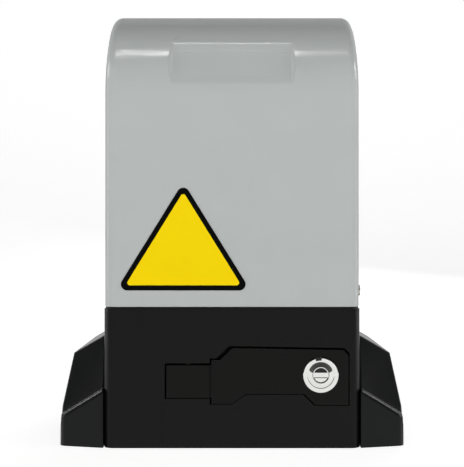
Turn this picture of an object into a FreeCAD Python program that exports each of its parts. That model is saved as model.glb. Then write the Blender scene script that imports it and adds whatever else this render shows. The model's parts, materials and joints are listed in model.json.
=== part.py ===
# Sliding gate motor: a worm geared drive that stands beside a gate and turns a rack pinion.
# +Z is up, +X is to the right of someone who faces the release lever, and the pinion points to +Y.
# The origin is the middle of the anchor slots on the bottom face. All lengths are millimetres.
import FreeCAD, Part
import math
import os
import re
import Sketcher

Vector = FreeCAD.Vector
doc = FreeCAD.newDocument("sliding_gate_motor")
sheet = doc.addObject("Spreadsheet::Sheet", "Sizes")

# Every size that can be chosen by itself, written once.
sizes = {
    # housing
    "body_width": 202,
    "body_depth": 190,
    "base_lip": 0.6,
    "corner_radius": 8,
    "base_height": 110,
    "rim_wall": 6,
    "deck_drop": 9,
    "deck_thickness": 6,
    "case_wall": 6,
    "seal_thickness": 1.5,
    "seal_width": 2.6,
    "cover_height": 245.5,
    "cover_wall": 3,
    "crown_extra": 7,
    "shoulder_radius": 55,
    "recess_width": 95,
    "recess_rise": 7.3,
    "recess_tilt": 28,
    "label_width": 86,
    "label_length": 26,
    "label_depth": 0.5,
    "label_start": 8,
    "sign_width": 106.4,
    "sign_height": 85.7,
    "sign_left": 38.5,
    "sign_raise": 13,
    "sign_thickness": 0.4,
    # feet
    "ear_reach": 32,
    "ear_width": 150,
    "ear_thickness": 10,
    "slot_reach": 16,
    "slot_spacing_wide": 100,
    "slot_length": 18,
    "slot_width": 11,
    "rib_thickness": 8,
    "foot_margin": 4,
    "foot_height": 88.7,
    "foot_shoulder": 72,
    "foot_shoulder_in": 8.6,
    "foot_wall": 2.5,
    "foot_gap": 0.3,
    "foot_taper": 9,
    "foot_ridge_inner": 47,
    "foot_ridge_outer": 24.5,
    "foot_ledge": 8,
    "foot_lean": 20,
    "foot_radius": 7,
    "clip_spacing": 80,
    "clip_width": 14,
    "clip_thickness": 3,
    "clip_height": 60,
    # gear train
    "shaft_x": -35,
    "shaft_z": 53,
    "shaft_radius": 12.5,
    "wheel_y": 8,
    "worm_module": 2.5,
    "wheel_teeth": 30,
    "wheel_face": 20,
    "hub_radius": 20,
    "hub_front": 22,
    "hub_back": 14,
    "worm_pitch_radius": 12.5,
    "worm_turns": 5,
    "worm_steps": 16,
    "worm_bore_gap": 3,
    "chamber_gap": 3,
    "backlash": 0.12,
    "pinion_module": 4,
    "pinion_teeth": 17,
    "pinion_face": 30,
    "pinion_gap": 3.5,
    "output_bearing_radius": 23.5,
    "output_bearing_width": 12,
    "motor_shaft_radius": 7.5,
    "motor_bearing_radius": 16,
    "motor_bearing_width": 9,
    "key_width": 8,
    "key_height": 7,
    "key_length": 24,
    "fit": 0.03,
    "loose": 0.3,
    "flange_size": 92,
    "flange_thickness": 5,
    "flange_bolt_spacing": 76,
    "bolt_radius": 2.5,
    # release
    "pivot_inset": 14.6,
    "pivot_radius": 3,
    "cam_rest": 11,
    "spring_wire": 2.4,
    "spring_turns": 6,
    "spring_steps": 12,
    "dog_travel": 6,
    "rod_radius": 3.8,
    "rod_head_radius": 7,
    "rod_head_thickness": 3,
    "dog_bite": 4,
    "dog_width": 14,
    "dog_radius": 19,
    "dog_tooth_width": 8,
    "pin_radius": 2.5,
    "hub_half_width": 16.9,
    "hub_set_back": 0.4,
    "window_wall": 1.5,
    "split_line": 0.4,
    "window_gap": 1.3,
    "lever_thickness": 12,
    "lever_inset": 9.6,
    "lever_top": 79,
    "lever_top_right": 77.5,
    "lever_bottom": 34,
    "neck_top": 69.3,
    "neck_bottom": 35,
    "waist_bottom": 42.7,
    "lever_gap_top": 1.6,
    "lever_gap": 0.5,
    "hub_bottom": 39.4,
    "hub_top": 65.4,
    "lever_pocket_depth": 24,
    "hub_pocket_depth": 36,
    "lock_inset": 22,
    "lock_z": 58,
    "bezel_radius": 14.1,
    "bezel_thickness": 2.4,
    "barrel_radius": 9,
    "plug_radius": 6,
    "cam_reach": 20,
    "cam_thickness": 2.5,
    # motor
    "motor_clearance": 90,
    "motor_corner": 14,
    "lower_shield_height": 24,
    "stator_length": 80,
    "stator_bore": 28,
    "air_gap": 0.5,
    "winding_height": 14,
    "shield_wall": 4,
    "shield_floor": 8,
    "upper_shield_height": 27,
    "motor_bolt_inset": 4.5,
    "fan_height": 14,
    # electrics
    "board_width": 150,
    "board_height": 105,
    "board_thickness": 1.6,
    "board_raise": 17,
    "board_grid": 2,
    "bracket_inset": 37,
    "sheet_metal": 1.5,
    "standoff": 5,
    "capacitor_radius": 20,
    "capacitor_height": 78,
    "capacitor_inset": 33,
    "capacitor_y": 30,
    "switch_width": 50,
    "switch_depth": 26,
    "switch_height": 44,
    "switch_inset": 20,
    "whisker_height": 31,
    "whisker_reach": 74,
    "notch_width": 42,
    "grommet_x": 68,
    "grommet_inset": 21,
    "grommet_radius": 11,
    "screw_height": 13.5,
    "right_screw_y": -70,
    "left_screw_y": 45,
    "screw_radius": 2,
    "screw_head_radius": 4.4,
    "screw_head_height": 3,
}

# Sizes that follow from the ones above.
derived = {
    "half_width": "body_width / 2",
    "half_depth": "body_depth / 2",
    "base_x": "half_width + base_lip",
    "base_y": "half_depth + base_lip",
    "crown_radius": "half_depth + crown_extra",
    "cover_bottom": "base_height + seal_thickness",
    "cover_top": "cover_bottom + cover_height",
    "shoulder_drop": "crown_radius - sqrt((crown_radius - shoulder_radius) ^ 2 - (half_depth - shoulder_radius) ^ 2)",
    "recess_drop": "shoulder_drop - recess_rise",
    "sign_bottom": "cover_bottom + sign_raise",
    "ear_length": "body_width + 2 * ear_reach",
    "slot_spacing_long": "body_width + 2 * slot_reach",
    "foot_reach": "ear_reach + foot_margin",
    "pivot_y": "pivot_inset - base_y",
    "stator_bottom": "deck + lower_shield_height",
    "board_bottom": "deck + board_raise",
    "lever_right": "base_x - lever_inset",
    "lock_x": "lever_right - lock_inset",
    "motor_side": "body_depth - motor_clearance",
    "shield_cavity": "motor_side / 2 - shield_wall",
    "motor_bolt_spacing": "motor_side - 2 * motor_bolt_inset",
    "winding_radius": "motor_side / 2 - 6",
    "fan_radius": "motor_side / 2 - 12",
    "capacitor_x": "capacitor_inset - half_width",
    "bracket_y": "bracket_inset - half_depth",
    "switch_y": "half_depth - switch_inset",
    "grommet_y": "half_depth - grommet_inset",
    "deck": "base_height - deck_drop",
    "inner_x": "base_x - rim_wall",
    "inner_y": "base_y - rim_wall",
    "wheel_pitch_radius": "worm_module * wheel_teeth / 2",
    "wheel_tip": "wheel_pitch_radius + worm_module",
    "wheel_root": "wheel_pitch_radius - 1.3 * worm_module",
    "worm_tip": "worm_pitch_radius + worm_module",
    "worm_root": "worm_pitch_radius - 1.2 * worm_module",
    "worm_x": "shaft_x + wheel_pitch_radius + worm_pitch_radius",
    "worm_pitch": "worm_module * pi",
    "worm_half_length": "worm_turns * worm_pitch / 2",
    "worm_bore": "worm_tip + worm_bore_gap",
    "chamber_radius": "wheel_tip + chamber_gap",
    "chamber_front": "wheel_y - hub_front - 2",
    "seat_front": "chamber_front - output_bearing_width",
    "rear_bearing": "base_y - output_bearing_width - 10",
    "worm_bearing_top": "shaft_z - worm_half_length - 9",
    "flange_face": "base_y + flange_thickness",
    "pinion_front": "flange_face + pinion_gap",
    "pinion_back": "pinion_front + pinion_face",
    "lever_back": "-base_y + lever_thickness",
    "pocket_floor": "-base_y + lever_pocket_depth",
    "hub_floor": "-base_y + hub_pocket_depth",
    "window_half": "hub_half_width + window_gap",
    "dog_front": "wheel_y + hub_back + 1",
    "dog_pin_y": "dog_front + dog_width / 2",
    "rod_front": "pivot_y + cam_rest + 0.1",
    "rod_back": "dog_pin_y - pin_radius - 0.1",
    "foot_in": "base_x + foot_gap",
    "foot_out": "foot_in + foot_reach",
    "stator_top": "stator_bottom + stator_length",
    "shield_top": "stator_top + upper_shield_height",
    "board_y": "bracket_y - sheet_metal - standoff",
    "screw_z": "base_height + screw_height",
    "whisker_z": "deck + whisker_height",
    "cam_y": "lever_back + 7",
}

for row, (name, number) in enumerate(sizes.items(), 1):
    sheet.set(f"A{row}", name)
    sheet.set(f"B{row}", str(number))
    sheet.setAlias(f"B{row}", name)
doc.recompute()

nodes = []


def formula(text):
    """A size formula as the document reads it, with the sheet's name before each size."""

    def spell(word):
        name = word.group()
        if name in sizes:
            return "Sizes." + name
        if name in derived:
            return "(" + formula(derived[name]) + ")"
        return name

    return re.sub(r"[a-z][a-z_0-9]*", spell, str(text))


def value(text):
    """The number that a size formula has now."""
    return float(sheet.evalExpression(formula(text)))


def bind(thing, **texts):
    """Tie properties of an object to size formulas."""
    for name, text in texts.items():
        thing.setExpression(name, formula(text))


def place(thing, x=0, y=0, z=0, axis=None, angle=0):
    """Turn an object, then tie its position to size formulas."""
    if axis:
        thing.Placement = FreeCAD.Placement(Vector(), FreeCAD.Rotation(Vector(*axis), angle))
    for letter, text in zip("xyz", (x, y, z)):
        thing.setExpression(f"Placement.Base.{letter}", formula(text))
    return thing


def node(thing, name):
    """Give a finished sub-part its name and put it on the list to be written."""
    thing.Label = name
    nodes.append(thing)
    return thing


# Part primitives

def box(name, x, y, z, length, width, height):
    """A box from its low corner and its three sizes."""
    solid = doc.addObject("Part::Box", name)
    bind(solid, Length=length, Width=width, Height=height)
    return place(solid, x, y, z)


def cylinder(name, radius, height, x, y, z, along="z"):
    """A cylinder from the middle of its first end, along x, y or z."""
    solid = doc.addObject("Part::Cylinder", name)
    bind(solid, Radius=radius, Height=height)
    turns = {"x": ((0, 1, 0), 90), "y": ((1, 0, 0), -90), "z": (None, 0)}
    return place(solid, x, y, z, *turns[along])


def hexagon(name, radius, height, x, y, z, along="z"):
    """A hexagonal prism, for bolt heads and nuts."""
    solid = doc.addObject("Part::Prism", name)
    solid.Polygon = 6
    bind(solid, Circumradius=radius, Height=height)
    turns = {"x": ((0, 1, 0), 90), "y": ((1, 0, 0), -90), "z": (None, 0)}
    return place(solid, x, y, z, *turns[along])


def fuse(name, *pieces):
    """One solid out of several."""
    solid = doc.addObject("Part::MultiFuse", name)
    solid.Shapes = list(pieces)
    solid.Refine = True
    return solid


def group(name, *pieces):
    """Several solids that stay apart in one node."""
    solid = doc.addObject("Part::Compound", name)
    solid.Links = list(pieces)
    return solid


def cut(name, base, *tools):
    """A solid with others taken away from it."""
    solid = doc.addObject("Part::Cut", name)
    solid.Base = base
    solid.Tool = tools[0] if len(tools) == 1 else fuse(name + "_tools", *tools)
    solid.Refine = True
    return solid


def shape_node(name, shape):
    """A node whose shape is worked out from the sheet by Part's own functions."""
    thing = doc.addObject("Part::Feature", name)
    thing.Shape = shape
    return node(thing, name)


# PartDesign bodies

def new_body(name):
    return doc.addObject("PartDesign::Body", name)


def sketch(body, name, plane, offset=0, tilt=None):
    """A sketch on one of the body's origin planes, moved along the plane's normal."""
    drawing = body.newObject("Sketcher::SketchObject", name)
    origin = next(item for item in body.Origin.OriginFeatures if item.Role == plane + "_Plane")
    drawing.AttachmentSupport = (origin, [""])
    drawing.MapMode = "FlatFace"
    if tilt:
        turn = FreeCAD.Rotation(Vector(*tilt[0]), tilt[1])
        drawing.AttachmentOffset = FreeCAD.Placement(Vector(), turn)
    drawing.setExpression("AttachmentOffset.Base.z", formula(offset))
    return drawing


def fix(drawing, kind, *places):
    """A constraint whose last item is a size formula."""
    start = value(places[-1])
    number = drawing.addConstraint(Sketcher.Constraint(kind, *places[:-1], start))
    drawing.setExpression(f"Constraints[{number}]", formula(places[-1]))


def polygon(drawing, corners):
    """A closed outline with every corner tied to size formulas."""
    first = drawing.GeometryCount
    points = [Vector(value(across), value(up), 0) for across, up in corners]
    count = len(points)
    for index, point in enumerate(points):
        line = Part.LineSegment(point, points[(index + 1) % count])
        drawing.addGeometry(line, False)
    for index in range(count):
        following = first + (index + 1) % count
        drawing.addConstraint(Sketcher.Constraint("Coincident", first + index, 2, following, 1))
    for index, (across, up) in enumerate(corners):
        fix(drawing, "DistanceX", -1, 1, first + index, 1, across)
        fix(drawing, "DistanceY", -1, 1, first + index, 1, up)


def rectangle(drawing, left, low, right, high):
    polygon(drawing, [(left, low), (right, low), (right, high), (left, high)])


def circle(drawing, across, up, radius):
    """A circle tied to size formulas."""
    number = drawing.GeometryCount
    centre = Vector(value(across), value(up), 0)
    drawing.addGeometry(Part.Circle(centre, Vector(0, 0, 1), value(radius)), False)
    fix(drawing, "Radius", number, radius)
    fix(drawing, "DistanceX", -1, 1, number, 3, across)
    fix(drawing, "DistanceY", -1, 1, number, 3, up)


def long_hole(drawing, across, up, length, width):
    """A hole with round ends, longer across the sketch than up it."""
    first = drawing.GeometryCount
    radius = value(width) / 2
    reach = value(length) / 2 - radius
    middle = Vector(value(across), value(up), 0)
    side = Vector(reach, 0, 0)
    rise = Vector(0, radius, 0)
    axis = Vector(0, 0, 1)
    drawing.addGeometry(Part.LineSegment(middle - side - rise, middle + side - rise), False)
    right = Part.Circle(middle + side, axis, radius)
    drawing.addGeometry(Part.ArcOfCircle(right, -math.pi / 2, math.pi / 2), False)
    drawing.addGeometry(Part.LineSegment(middle + side + rise, middle - side + rise), False)
    left = Part.Circle(middle - side, axis, radius)
    drawing.addGeometry(Part.ArcOfCircle(left, math.pi / 2, 3 * math.pi / 2), False)
    for index in range(4):
        following = first + (index + 1) % 4
        drawing.addConstraint(Sketcher.Constraint("Tangent", first + index, 2, following, 1))
    drawing.addConstraint(Sketcher.Constraint("Horizontal", first))
    fix(drawing, "Radius", first + 1, f"({width}) / 2")
    fix(drawing, "DistanceX", -1, 1, first + 1, 3, f"({across}) + ({length} - {width}) / 2")
    fix(drawing, "DistanceX", -1, 1, first + 3, 3, f"({across}) - ({length} - {width}) / 2")
    fix(drawing, "DistanceY", -1, 1, first + 1, 3, up)


def pad(body, drawing, length, both=False, reverse=False):
    feature = body.newObject("PartDesign::Pad", drawing.Name + "_pad")
    feature.Profile = drawing
    feature.Reversed = reverse
    feature.SideType = "Symmetric" if both else "One side"
    bind(feature, Length=length)
    return feature


def pocket(body, drawing, length, both=False, reverse=False):
    """A pocket, which has to take something away."""
    doc.recompute()
    before = body.Shape.Volume
    feature = body.newObject("PartDesign::Pocket", drawing.Name + "_pocket")
    feature.Profile = drawing
    feature.Reversed = reverse
    feature.SideType = "Symmetric" if both else "One side"
    bind(feature, Length=length)
    doc.recompute()
    if body.Shape.Volume > before - 0.01:
        raise RuntimeError(f"{feature.Name} takes nothing away")
    return feature


def fillet(body, name, radius, wanted):
    """Round the edges of a body's last feature that the function wanted picks."""
    doc.recompute()
    last = body.Tip
    edges = [f"Edge{i}" for i, edge in enumerate(last.Shape.Edges, 1) if wanted(edge)]
    feature = body.newObject("PartDesign::Fillet", name)
    feature.Base = (last, edges)
    bind(feature, Radius=radius)
    doc.recompute()
    return feature


def chamfer(body, name, size, wanted):
    """Bevel the edges of a body's last feature that the function wanted picks."""
    doc.recompute()
    last = body.Tip
    edges = [f"Edge{i}" for i, edge in enumerate(last.Shape.Edges, 1) if wanted(edge)]
    feature = body.newObject("PartDesign::Chamfer", name)
    feature.Base = (last, edges)
    bind(feature, Size=size)
    doc.recompute()
    return feature


def upright(edge, height):
    """Whether an edge is a straight vertical one of at least this height."""
    box_of_edge = edge.BoundBox
    if box_of_edge.XLength > 0.01 or box_of_edge.YLength > 0.01:
        return False
    return box_of_edge.ZLength > height - 0.01


# Cover: a moulded arch, with a flat facet cut across its front shoulder

def arch_outline(drawing, inset, low):
    """The side view: two upright walls, two shoulders and a crown, all tangent."""
    half = value(f"half_depth - {inset}")
    shoulder = value(f"shoulder_radius - {inset}")
    crown = value(f"crown_radius - {inset}")
    top = value(f"cover_top - {inset}")
    floor = value(low)
    sine = (half - shoulder) / (crown - shoulder)
    turn = math.acos(sine)
    spring = top - crown + (crown - shoulder) * math.sin(turn)
    axis = Vector(0, 0, 1)
    left = Part.Circle(Vector(shoulder - half, spring, 0), axis, shoulder)
    right = Part.Circle(Vector(half - shoulder, spring, 0), axis, shoulder)
    middle = Part.Circle(Vector(0, top - crown, 0), axis, crown)
    for curve in (
        Part.LineSegment(Vector(half, floor, 0), Vector(half, spring, 0)),
        Part.ArcOfCircle(right, 0, turn),
        Part.ArcOfCircle(middle, turn, math.pi - turn),
        Part.ArcOfCircle(left, math.pi - turn, math.pi),
        Part.LineSegment(Vector(-half, spring, 0), Vector(-half, floor, 0)),
        Part.LineSegment(Vector(-half, floor, 0), Vector(half, floor, 0)),
    ):
        drawing.addGeometry(curve, False)
    for index in range(4):
        drawing.addConstraint(Sketcher.Constraint("Tangent", index, 2, index + 1, 1))
    drawing.addConstraint(Sketcher.Constraint("Coincident", 4, 2, 5, 1))
    drawing.addConstraint(Sketcher.Constraint("Coincident", 5, 2, 0, 1))
    drawing.addConstraint(Sketcher.Constraint("Vertical", 0))
    drawing.addConstraint(Sketcher.Constraint("Vertical", 4))
    drawing.addConstraint(Sketcher.Constraint("PointOnObject", 2, 3, -2))
    fix(drawing, "DistanceX", -1, 1, 0, 1, f"half_depth - {inset}")
    fix(drawing, "DistanceY", -1, 1, 0, 1, low)
    fix(drawing, "DistanceX", -1, 1, 5, 1, f"-(half_depth - {inset})")
    fix(drawing, "DistanceY", -1, 1, 5, 1, low)
    fix(drawing, "Radius", 1, f"shoulder_radius - {inset}")
    fix(drawing, "Radius", 2, f"crown_radius - {inset}")
    fix(drawing, "Radius", 3, f"shoulder_radius - {inset}")
    fix(drawing, "DistanceY", -1, 1, 2, 3, "cover_top - crown_radius")


def arch_block(name, inset, low):
    """The cover's solid outline, or its hollow when it is set in by the wall."""
    body = new_body(name)
    side = sketch(body, name + "_side", "YZ")
    arch_outline(side, inset, low)
    pad(body, side, f"body_width - 2 * {inset}", both=True)
    width = value(f"half_width - {inset}")

    def at_side(edge):
        if abs(edge.BoundBox.ZMax - value(low)) < 0.01:
            return False
        return min(abs(abs(vertex.X) - width) for vertex in edge.Vertexes) < 0.01 and edge.BoundBox.XLength < 0.01

    if inset:
        chamfer(body, name + "_bevel", f"corner_radius - {inset} - 1", at_side)
    else:
        fillet(body, name + "_round", "corner_radius", at_side)
    across = sketch(body, name + "_recess", "XY", 0, ((1, 0, 0), -sizes["recess_tilt"]))
    across.setExpression("AttachmentOffset.Base.y", formula("-half_depth"))
    across.setExpression("AttachmentOffset.Base.z", formula("cover_top - recess_drop"))
    across.setExpression("AttachmentOffset.Rotation.Angle", formula("0 - recess_tilt"))
    wide = f"(recess_width / 2 + {inset})"
    polygon(across, [
        (f"-{wide}", inset),
        (wide, inset),
        (f"{wide} + 20", f"{inset} - 20"),
        (f"-{wide} - 20", f"{inset} - 20"),
    ])
    pocket(body, across, "4 * shoulder_radius", both=True)
    return body


outer = arch_block("cover_outside", 0, "cover_bottom")
inner = arch_block("cover_inside", "cover_wall", "cover_bottom - 5")
label = sketch(outer, "label_pocket", "XY", 0, ((1, 0, 0), -sizes["recess_tilt"]))
label.setExpression("AttachmentOffset.Base.y", formula("-half_depth + label_start * sin(recess_tilt)"))
label.setExpression("AttachmentOffset.Base.z", formula("cover_top - recess_drop + label_start * cos(recess_tilt)"))
label.setExpression("AttachmentOffset.Rotation.Angle", formula("0 - recess_tilt"))
rectangle(label, "-label_width / 2", "-1", "label_width / 2", "label_depth")
pocket(outer, label, "label_length", reverse=True)

notch = box("cover_notch", "shaft_x - notch_width / 2", "half_depth - cover_wall - 1", "cover_bottom - 1",
            "notch_width", "cover_wall + 2", "whisker_z + 9 - cover_bottom")
holes = []
for side, screw_y in (("right", "right_screw_y"), ("left", "left_screw_y")):
    start = "half_width - cover_wall - 1" if side == "right" else "-half_width - 1"
    holes.append(cylinder(side + "_screw_hole", "screw_radius + loose", "cover_wall + 2",
                          start, screw_y, "screw_z", "x"))
node(cut("cover", outer, inner, notch, *holes), "cover_shell")

screws = []
for side, screw_y in (("right", "right_screw_y"), ("left", "left_screw_y")):
    if side == "right":
        head_x, shank_x = "half_width + 0.1", "inner_x - 9"
    else:
        head_x, shank_x = "-half_width - 0.1 - screw_head_height", "-half_width - 0.2"
    head = cylinder(side + "_head", "screw_head_radius", "screw_head_height", head_x, screw_y, "screw_z", "x")
    shank = cylinder(side + "_shank", "screw_radius", "half_width + 0.2 - inner_x + 9",
                     shank_x, screw_y, "screw_z", "x")
    screws.append(fuse(side + "_screw", head, shank))
node(group("cover_screw_pair", *screws), "cover_screws")

# Blank warning plate: a thin triangle with round corners, stuck to the front of the cover
sign = new_body("sign")
front = sketch(sign, "sign_outline", "XZ", "half_depth + 0.02")
polygon(front, [
    ("-sign_left - sign_width / 2", "sign_bottom"),
    ("-sign_left + sign_width / 2", "sign_bottom"),
    ("-sign_left", "sign_bottom + sign_height"),
])
pad(sign, front, "sign_thickness")
fillet(sign, "sign_round", 5, lambda edge: edge.BoundBox.YLength > 0.01)
node(sign, "warning_plate")

# Base: one casting with the gear chamber, the lever's pocket, the deck and the two feet
base = new_body("base")
rectangle(sketch(base, "block", "XY"), "-base_x", "-base_y", "base_x", "base_y")
pad(base, base.Group[-1], "base_height")
fillet(base, "block_round", "corner_radius", lambda edge: upright(edge, value("base_height")))
rectangle(sketch(base, "ears", "XY"), "-ear_length / 2", "-ear_width / 2", "ear_length / 2", "ear_width / 2")
pad(base, base.Group[-1], "ear_thickness")
fillet(base, "ears_round", 6, lambda edge: upright(edge, value("ear_thickness"))
       and abs(edge.CenterOfMass.x) > value("ear_length / 2") - 0.1)
ribs = sketch(base, "ribs", "XZ")
for sign_of_x in ("", "-"):
    polygon(ribs, [
        (f"{sign_of_x}(base_x - 1)", "ear_thickness - 1"),
        (f"{sign_of_x}(ear_length / 2 - 4)", "ear_thickness - 1"),
        (f"{sign_of_x}(ear_length / 2 - 4)", "ear_thickness + 4"),
        (f"{sign_of_x}(base_x - 1)", "clip_height - 8"),
    ])
pad(base, ribs, "rib_thickness", both=True)
rectangle(sketch(base, "deck_recess", "XY", "base_height"), "-inner_x", "-inner_y", "inner_x", "inner_y")
pocket(base, base.Group[-1], "deck_drop")

# Lugs inside the rim take the cover screws in slots that are open at the top
lugs = sketch(base, "lugs", "XY", "deck - 1")
rectangle(lugs, "inner_x - 5", "right_screw_y - 8", "half_width - cover_wall - 0.5", "right_screw_y + 8")
rectangle(lugs, "-half_width + cover_wall + 0.5", "left_screw_y - 8", "5 - inner_x", "left_screw_y + 8")
pad(base, lugs, "screw_z + 8 - deck + 1")
lug_slots = sketch(base, "lug_slots", "YZ")
for screw_y in ("right_screw_y", "left_screw_y"):
    wide = "(screw_radius + loose)"
    rectangle(lug_slots, f"{screw_y} - {wide}", f"screw_z - {wide}", f"{screw_y} + {wide}", "screw_z + 9")
pocket(base, lug_slots, "body_width", both=True)

# Open bays under the deck on both sides of the gear case
bays = sketch(base, "bays", "XY")
rectangle(bays, "worm_x + worm_bore + case_wall", "pocket_floor + case_wall", "inner_x", "inner_y")
rectangle(bays, "-inner_x", "pocket_floor + case_wall", "shaft_x - chamber_radius - case_wall", "inner_y")
pocket(base, bays, "deck - deck_thickness", reverse=True)

# Gear chamber, open at the back, with the front bearing's seat and the push rod's bore
circle(sketch(base, "chamber", "XZ", "-(chamber_front)"), "shaft_x", "shaft_z", "chamber_radius")
pocket(base, base.Group[-1], "body_depth")
circle(sketch(base, "front_seat", "XZ", "-(seat_front)"), "shaft_x", "shaft_z", "output_bearing_radius + fit")
pocket(base, base.Group[-1], "output_bearing_width + 0.5")
circle(sketch(base, "rod_bore", "XZ", "-(hub_floor - 1)"), "shaft_x", "shaft_z", "rod_radius + fit")
pocket(base, base.Group[-1], "seat_front - hub_floor + 2")
circle(sketch(base, "worm_bore", "XY", "deck"), "worm_x", "wheel_y", "worm_bore")
pocket(base, base.Group[-1], "deck - worm_bearing_top")
circle(sketch(base, "worm_seat", "XY", "worm_bearing_top"), "worm_x", "wheel_y", "motor_bearing_radius + fit")
pocket(base, base.Group[-1], "motor_bearing_width")
circle(sketch(base, "cable_hole", "XY", "deck"), "grommet_x", "grommet_y", "grommet_radius")
pocket(base, base.Group[-1], "deck_thickness + 1")

# Anchor slots in the feet
slots = sketch(base, "anchor_slots", "XY", "ear_thickness")
for across in ("-", ""):
    for up in ("-", ""):
        long_hole(slots, f"{across}slot_spacing_long / 2", f"{up}slot_spacing_wide / 2", "slot_length", "slot_width")
pocket(base, slots, "ear_thickness + 1")
clips = sketch(base, "clip_slots", "YZ", 0)
for along in ("-", ""):
    middle = f"{along}clip_spacing / 2"
    half = "(clip_width / 2 + loose)"
    rectangle(clips, f"{middle} - {half}", "clip_height - loose", f"{middle} + {half}",
              "clip_height + clip_thickness + loose")
pocket(base, clips, "body_width + 20", both=True)


def lever_outline(top, low, side):
    """The lever's front outline, grown by a gap above, below and at its ends."""
    return [
        (f"shaft_x + window_half - {side}", f"neck_bottom - {low}"),
        (f"shaft_x + 35", f"neck_bottom - {low}"),
        (f"shaft_x + 46", f"waist_bottom - {low}"),
        (f"lever_right - 35 - {side}", f"waist_bottom - {low}"),
        (f"lever_right - 26 - {side}", f"lever_bottom - {low}"),
        (f"lever_right + {side}", f"lever_bottom - {low}"),
        (f"lever_right + {side}", f"lever_top_right - 4 + {top}"),
        (f"lever_right - 4 + {side}", f"lever_top_right + {top}"),
        (f"shaft_x + 35 - 3 * {side}", f"lever_top + {top}"),
        (f"shaft_x + 25 - 3 * {side}", f"neck_top + {top}"),
        (f"shaft_x + window_half - {side}", f"neck_top + {top}"),
    ]


polygon(sketch(base, "lever_pocket", "XZ", "base_y"), lever_outline("lever_gap_top", "lever_gap", 0.8))
pocket(base, base.Group[-1], "lever_pocket_depth")
rectangle(sketch(base, "hub_window", "XZ", "base_y"), "shaft_x - window_half", "hub_bottom - lever_gap",
          "shaft_x + window_half", "hub_top + lever_gap_top")
pocket(base, base.Group[-1], "hub_pocket_depth")
# Behind the front wall the window is wider, so that the hub's corner can swing
swing_room = "(sqrt(hub_half_width ^ 2 + (base_y + pivot_y) ^ 2) + 0.8)"
rectangle(sketch(base, "hub_swing_room", "XY", "hub_top + lever_gap_top"), f"shaft_x - {swing_room}",
          "window_wall - base_y", "shaft_x", "hub_floor")
pocket(base, base.Group[-1], "hub_top - hub_bottom + lever_gap + lever_gap_top")
rectangle(sketch(base, "split_groove", "XZ", "base_y"), "shaft_x - window_half - 3", "-1",
          "shaft_x - window_half - 3 + split_line", "hub_bottom - 4")
pocket(base, base.Group[-1], 0.3)
circle(sketch(base, "pivot_hole", "XY"), "shaft_x", "pivot_y", "pivot_radius + fit")
pocket(base, base.Group[-1], "hub_top + 12", reverse=True)
node(base, "base_casting")
doc.recompute()


# Foot covers: hollow shells that stand over the anchor feet, with a ledge across each end
foot = new_body("foot")
end_in = "(base_y - 1)"
end_out = "(base_y - 1 - foot_taper)"
plan = sketch(foot, "foot_plan", "XY")
polygon(plan, [("foot_in", "-" + end_in), ("foot_out", "-" + end_out), ("foot_out", end_out), ("foot_in", end_in)])
pad(foot, plan, "foot_height")
fillet(foot, "foot_corner", "foot_radius", lambda edge: upright(edge, value("foot_height"))
       and edge.CenterOfMass.x > value("foot_out") - 1)
slope = sketch(foot, "foot_slope", "XZ")
polygon(slope, [
    ("foot_in - 1", "foot_height"),
    ("foot_out - foot_shoulder_in", "foot_shoulder"),
    ("foot_out - 0.9", "foot_shoulder * 0.42"),
    ("foot_out", "0"),
    ("foot_out + 5", "0"),
    ("foot_out + 5", "foot_height + 5"),
    ("foot_in - 1", "foot_height + 5"),
])
pocket(foot, slope, "body_depth + 20", both=True)
for side, turn in (("front", "-"), ("back", "")):
    section = sketch(foot, side + "_ledge", "YZ", "foot_in")
    polygon(section, [
        (f"{turn}({end_in} + 12)", "foot_ridge_inner"),
        (f"{turn}({end_in} - foot_ledge)", "foot_ridge_inner"),
        (f"{turn}({end_in} - foot_ledge - 70 * tan(foot_lean))", "foot_ridge_inner + 70"),
        (f"{turn}({end_in} + 12)", "foot_ridge_inner + 70"),
    ])
    ledge = pocket(foot, section, "foot_reach + 10", reverse=True)
    ledge.UseCustomVector = True
    inward = value("foot_taper") if side == "front" else -value("foot_taper")
    ledge.Direction = Vector(-value("foot_reach"), -inward, value("foot_ridge_inner - foot_ridge_outer"))
    ledge.AlongSketchNormal = True
doc.recompute()

solid = foot.Tip
under = [f"Face{i}" for i, face in enumerate(solid.Shape.Faces, 1) if face.BoundBox.ZMax < 0.01]
shell = foot.newObject("PartDesign::Thickness", "foot_shell")
shell.Base = (solid, under)
shell.Reversed = True
shell.Join = "Arc"
bind(shell, Value="foot_wall")

# The wall beside the base is open for the ear and its rib, and carries two clips
doorway = sketch(foot, "foot_doorway", "YZ", "foot_in + foot_wall / 2")
rectangle(doorway, "-ear_width / 2 - loose", "-1", "ear_width / 2 + loose", "ear_thickness + loose")
pocket(foot, doorway, "foot_wall + 1", both=True)
rib_door = sketch(foot, "rib_doorway", "YZ", "foot_in + foot_wall / 2")
rectangle(rib_door, "-rib_thickness / 2 - loose", "-1", "rib_thickness / 2 + loose", "clip_height - 8 + loose")
pocket(foot, rib_door, "foot_wall + 1", both=True)
tongues = sketch(foot, "foot_clips", "YZ", "foot_in + 0.5")
for along in ("-", ""):
    rectangle(tongues, f"{along}clip_spacing / 2 - clip_width / 2", "clip_height",
              f"{along}clip_spacing / 2 + clip_width / 2", "clip_height + clip_thickness")
pad(foot, tongues, "rim_wall + 3", reverse=True)
node(foot, "right_foot_cover")
mirrored = doc.addObject("Part::Mirroring", "foot_mirrored")
mirrored.Source = foot
mirrored.Normal = Vector(1, 0, 0)
node(mirrored, "left_foot_cover")

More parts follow.
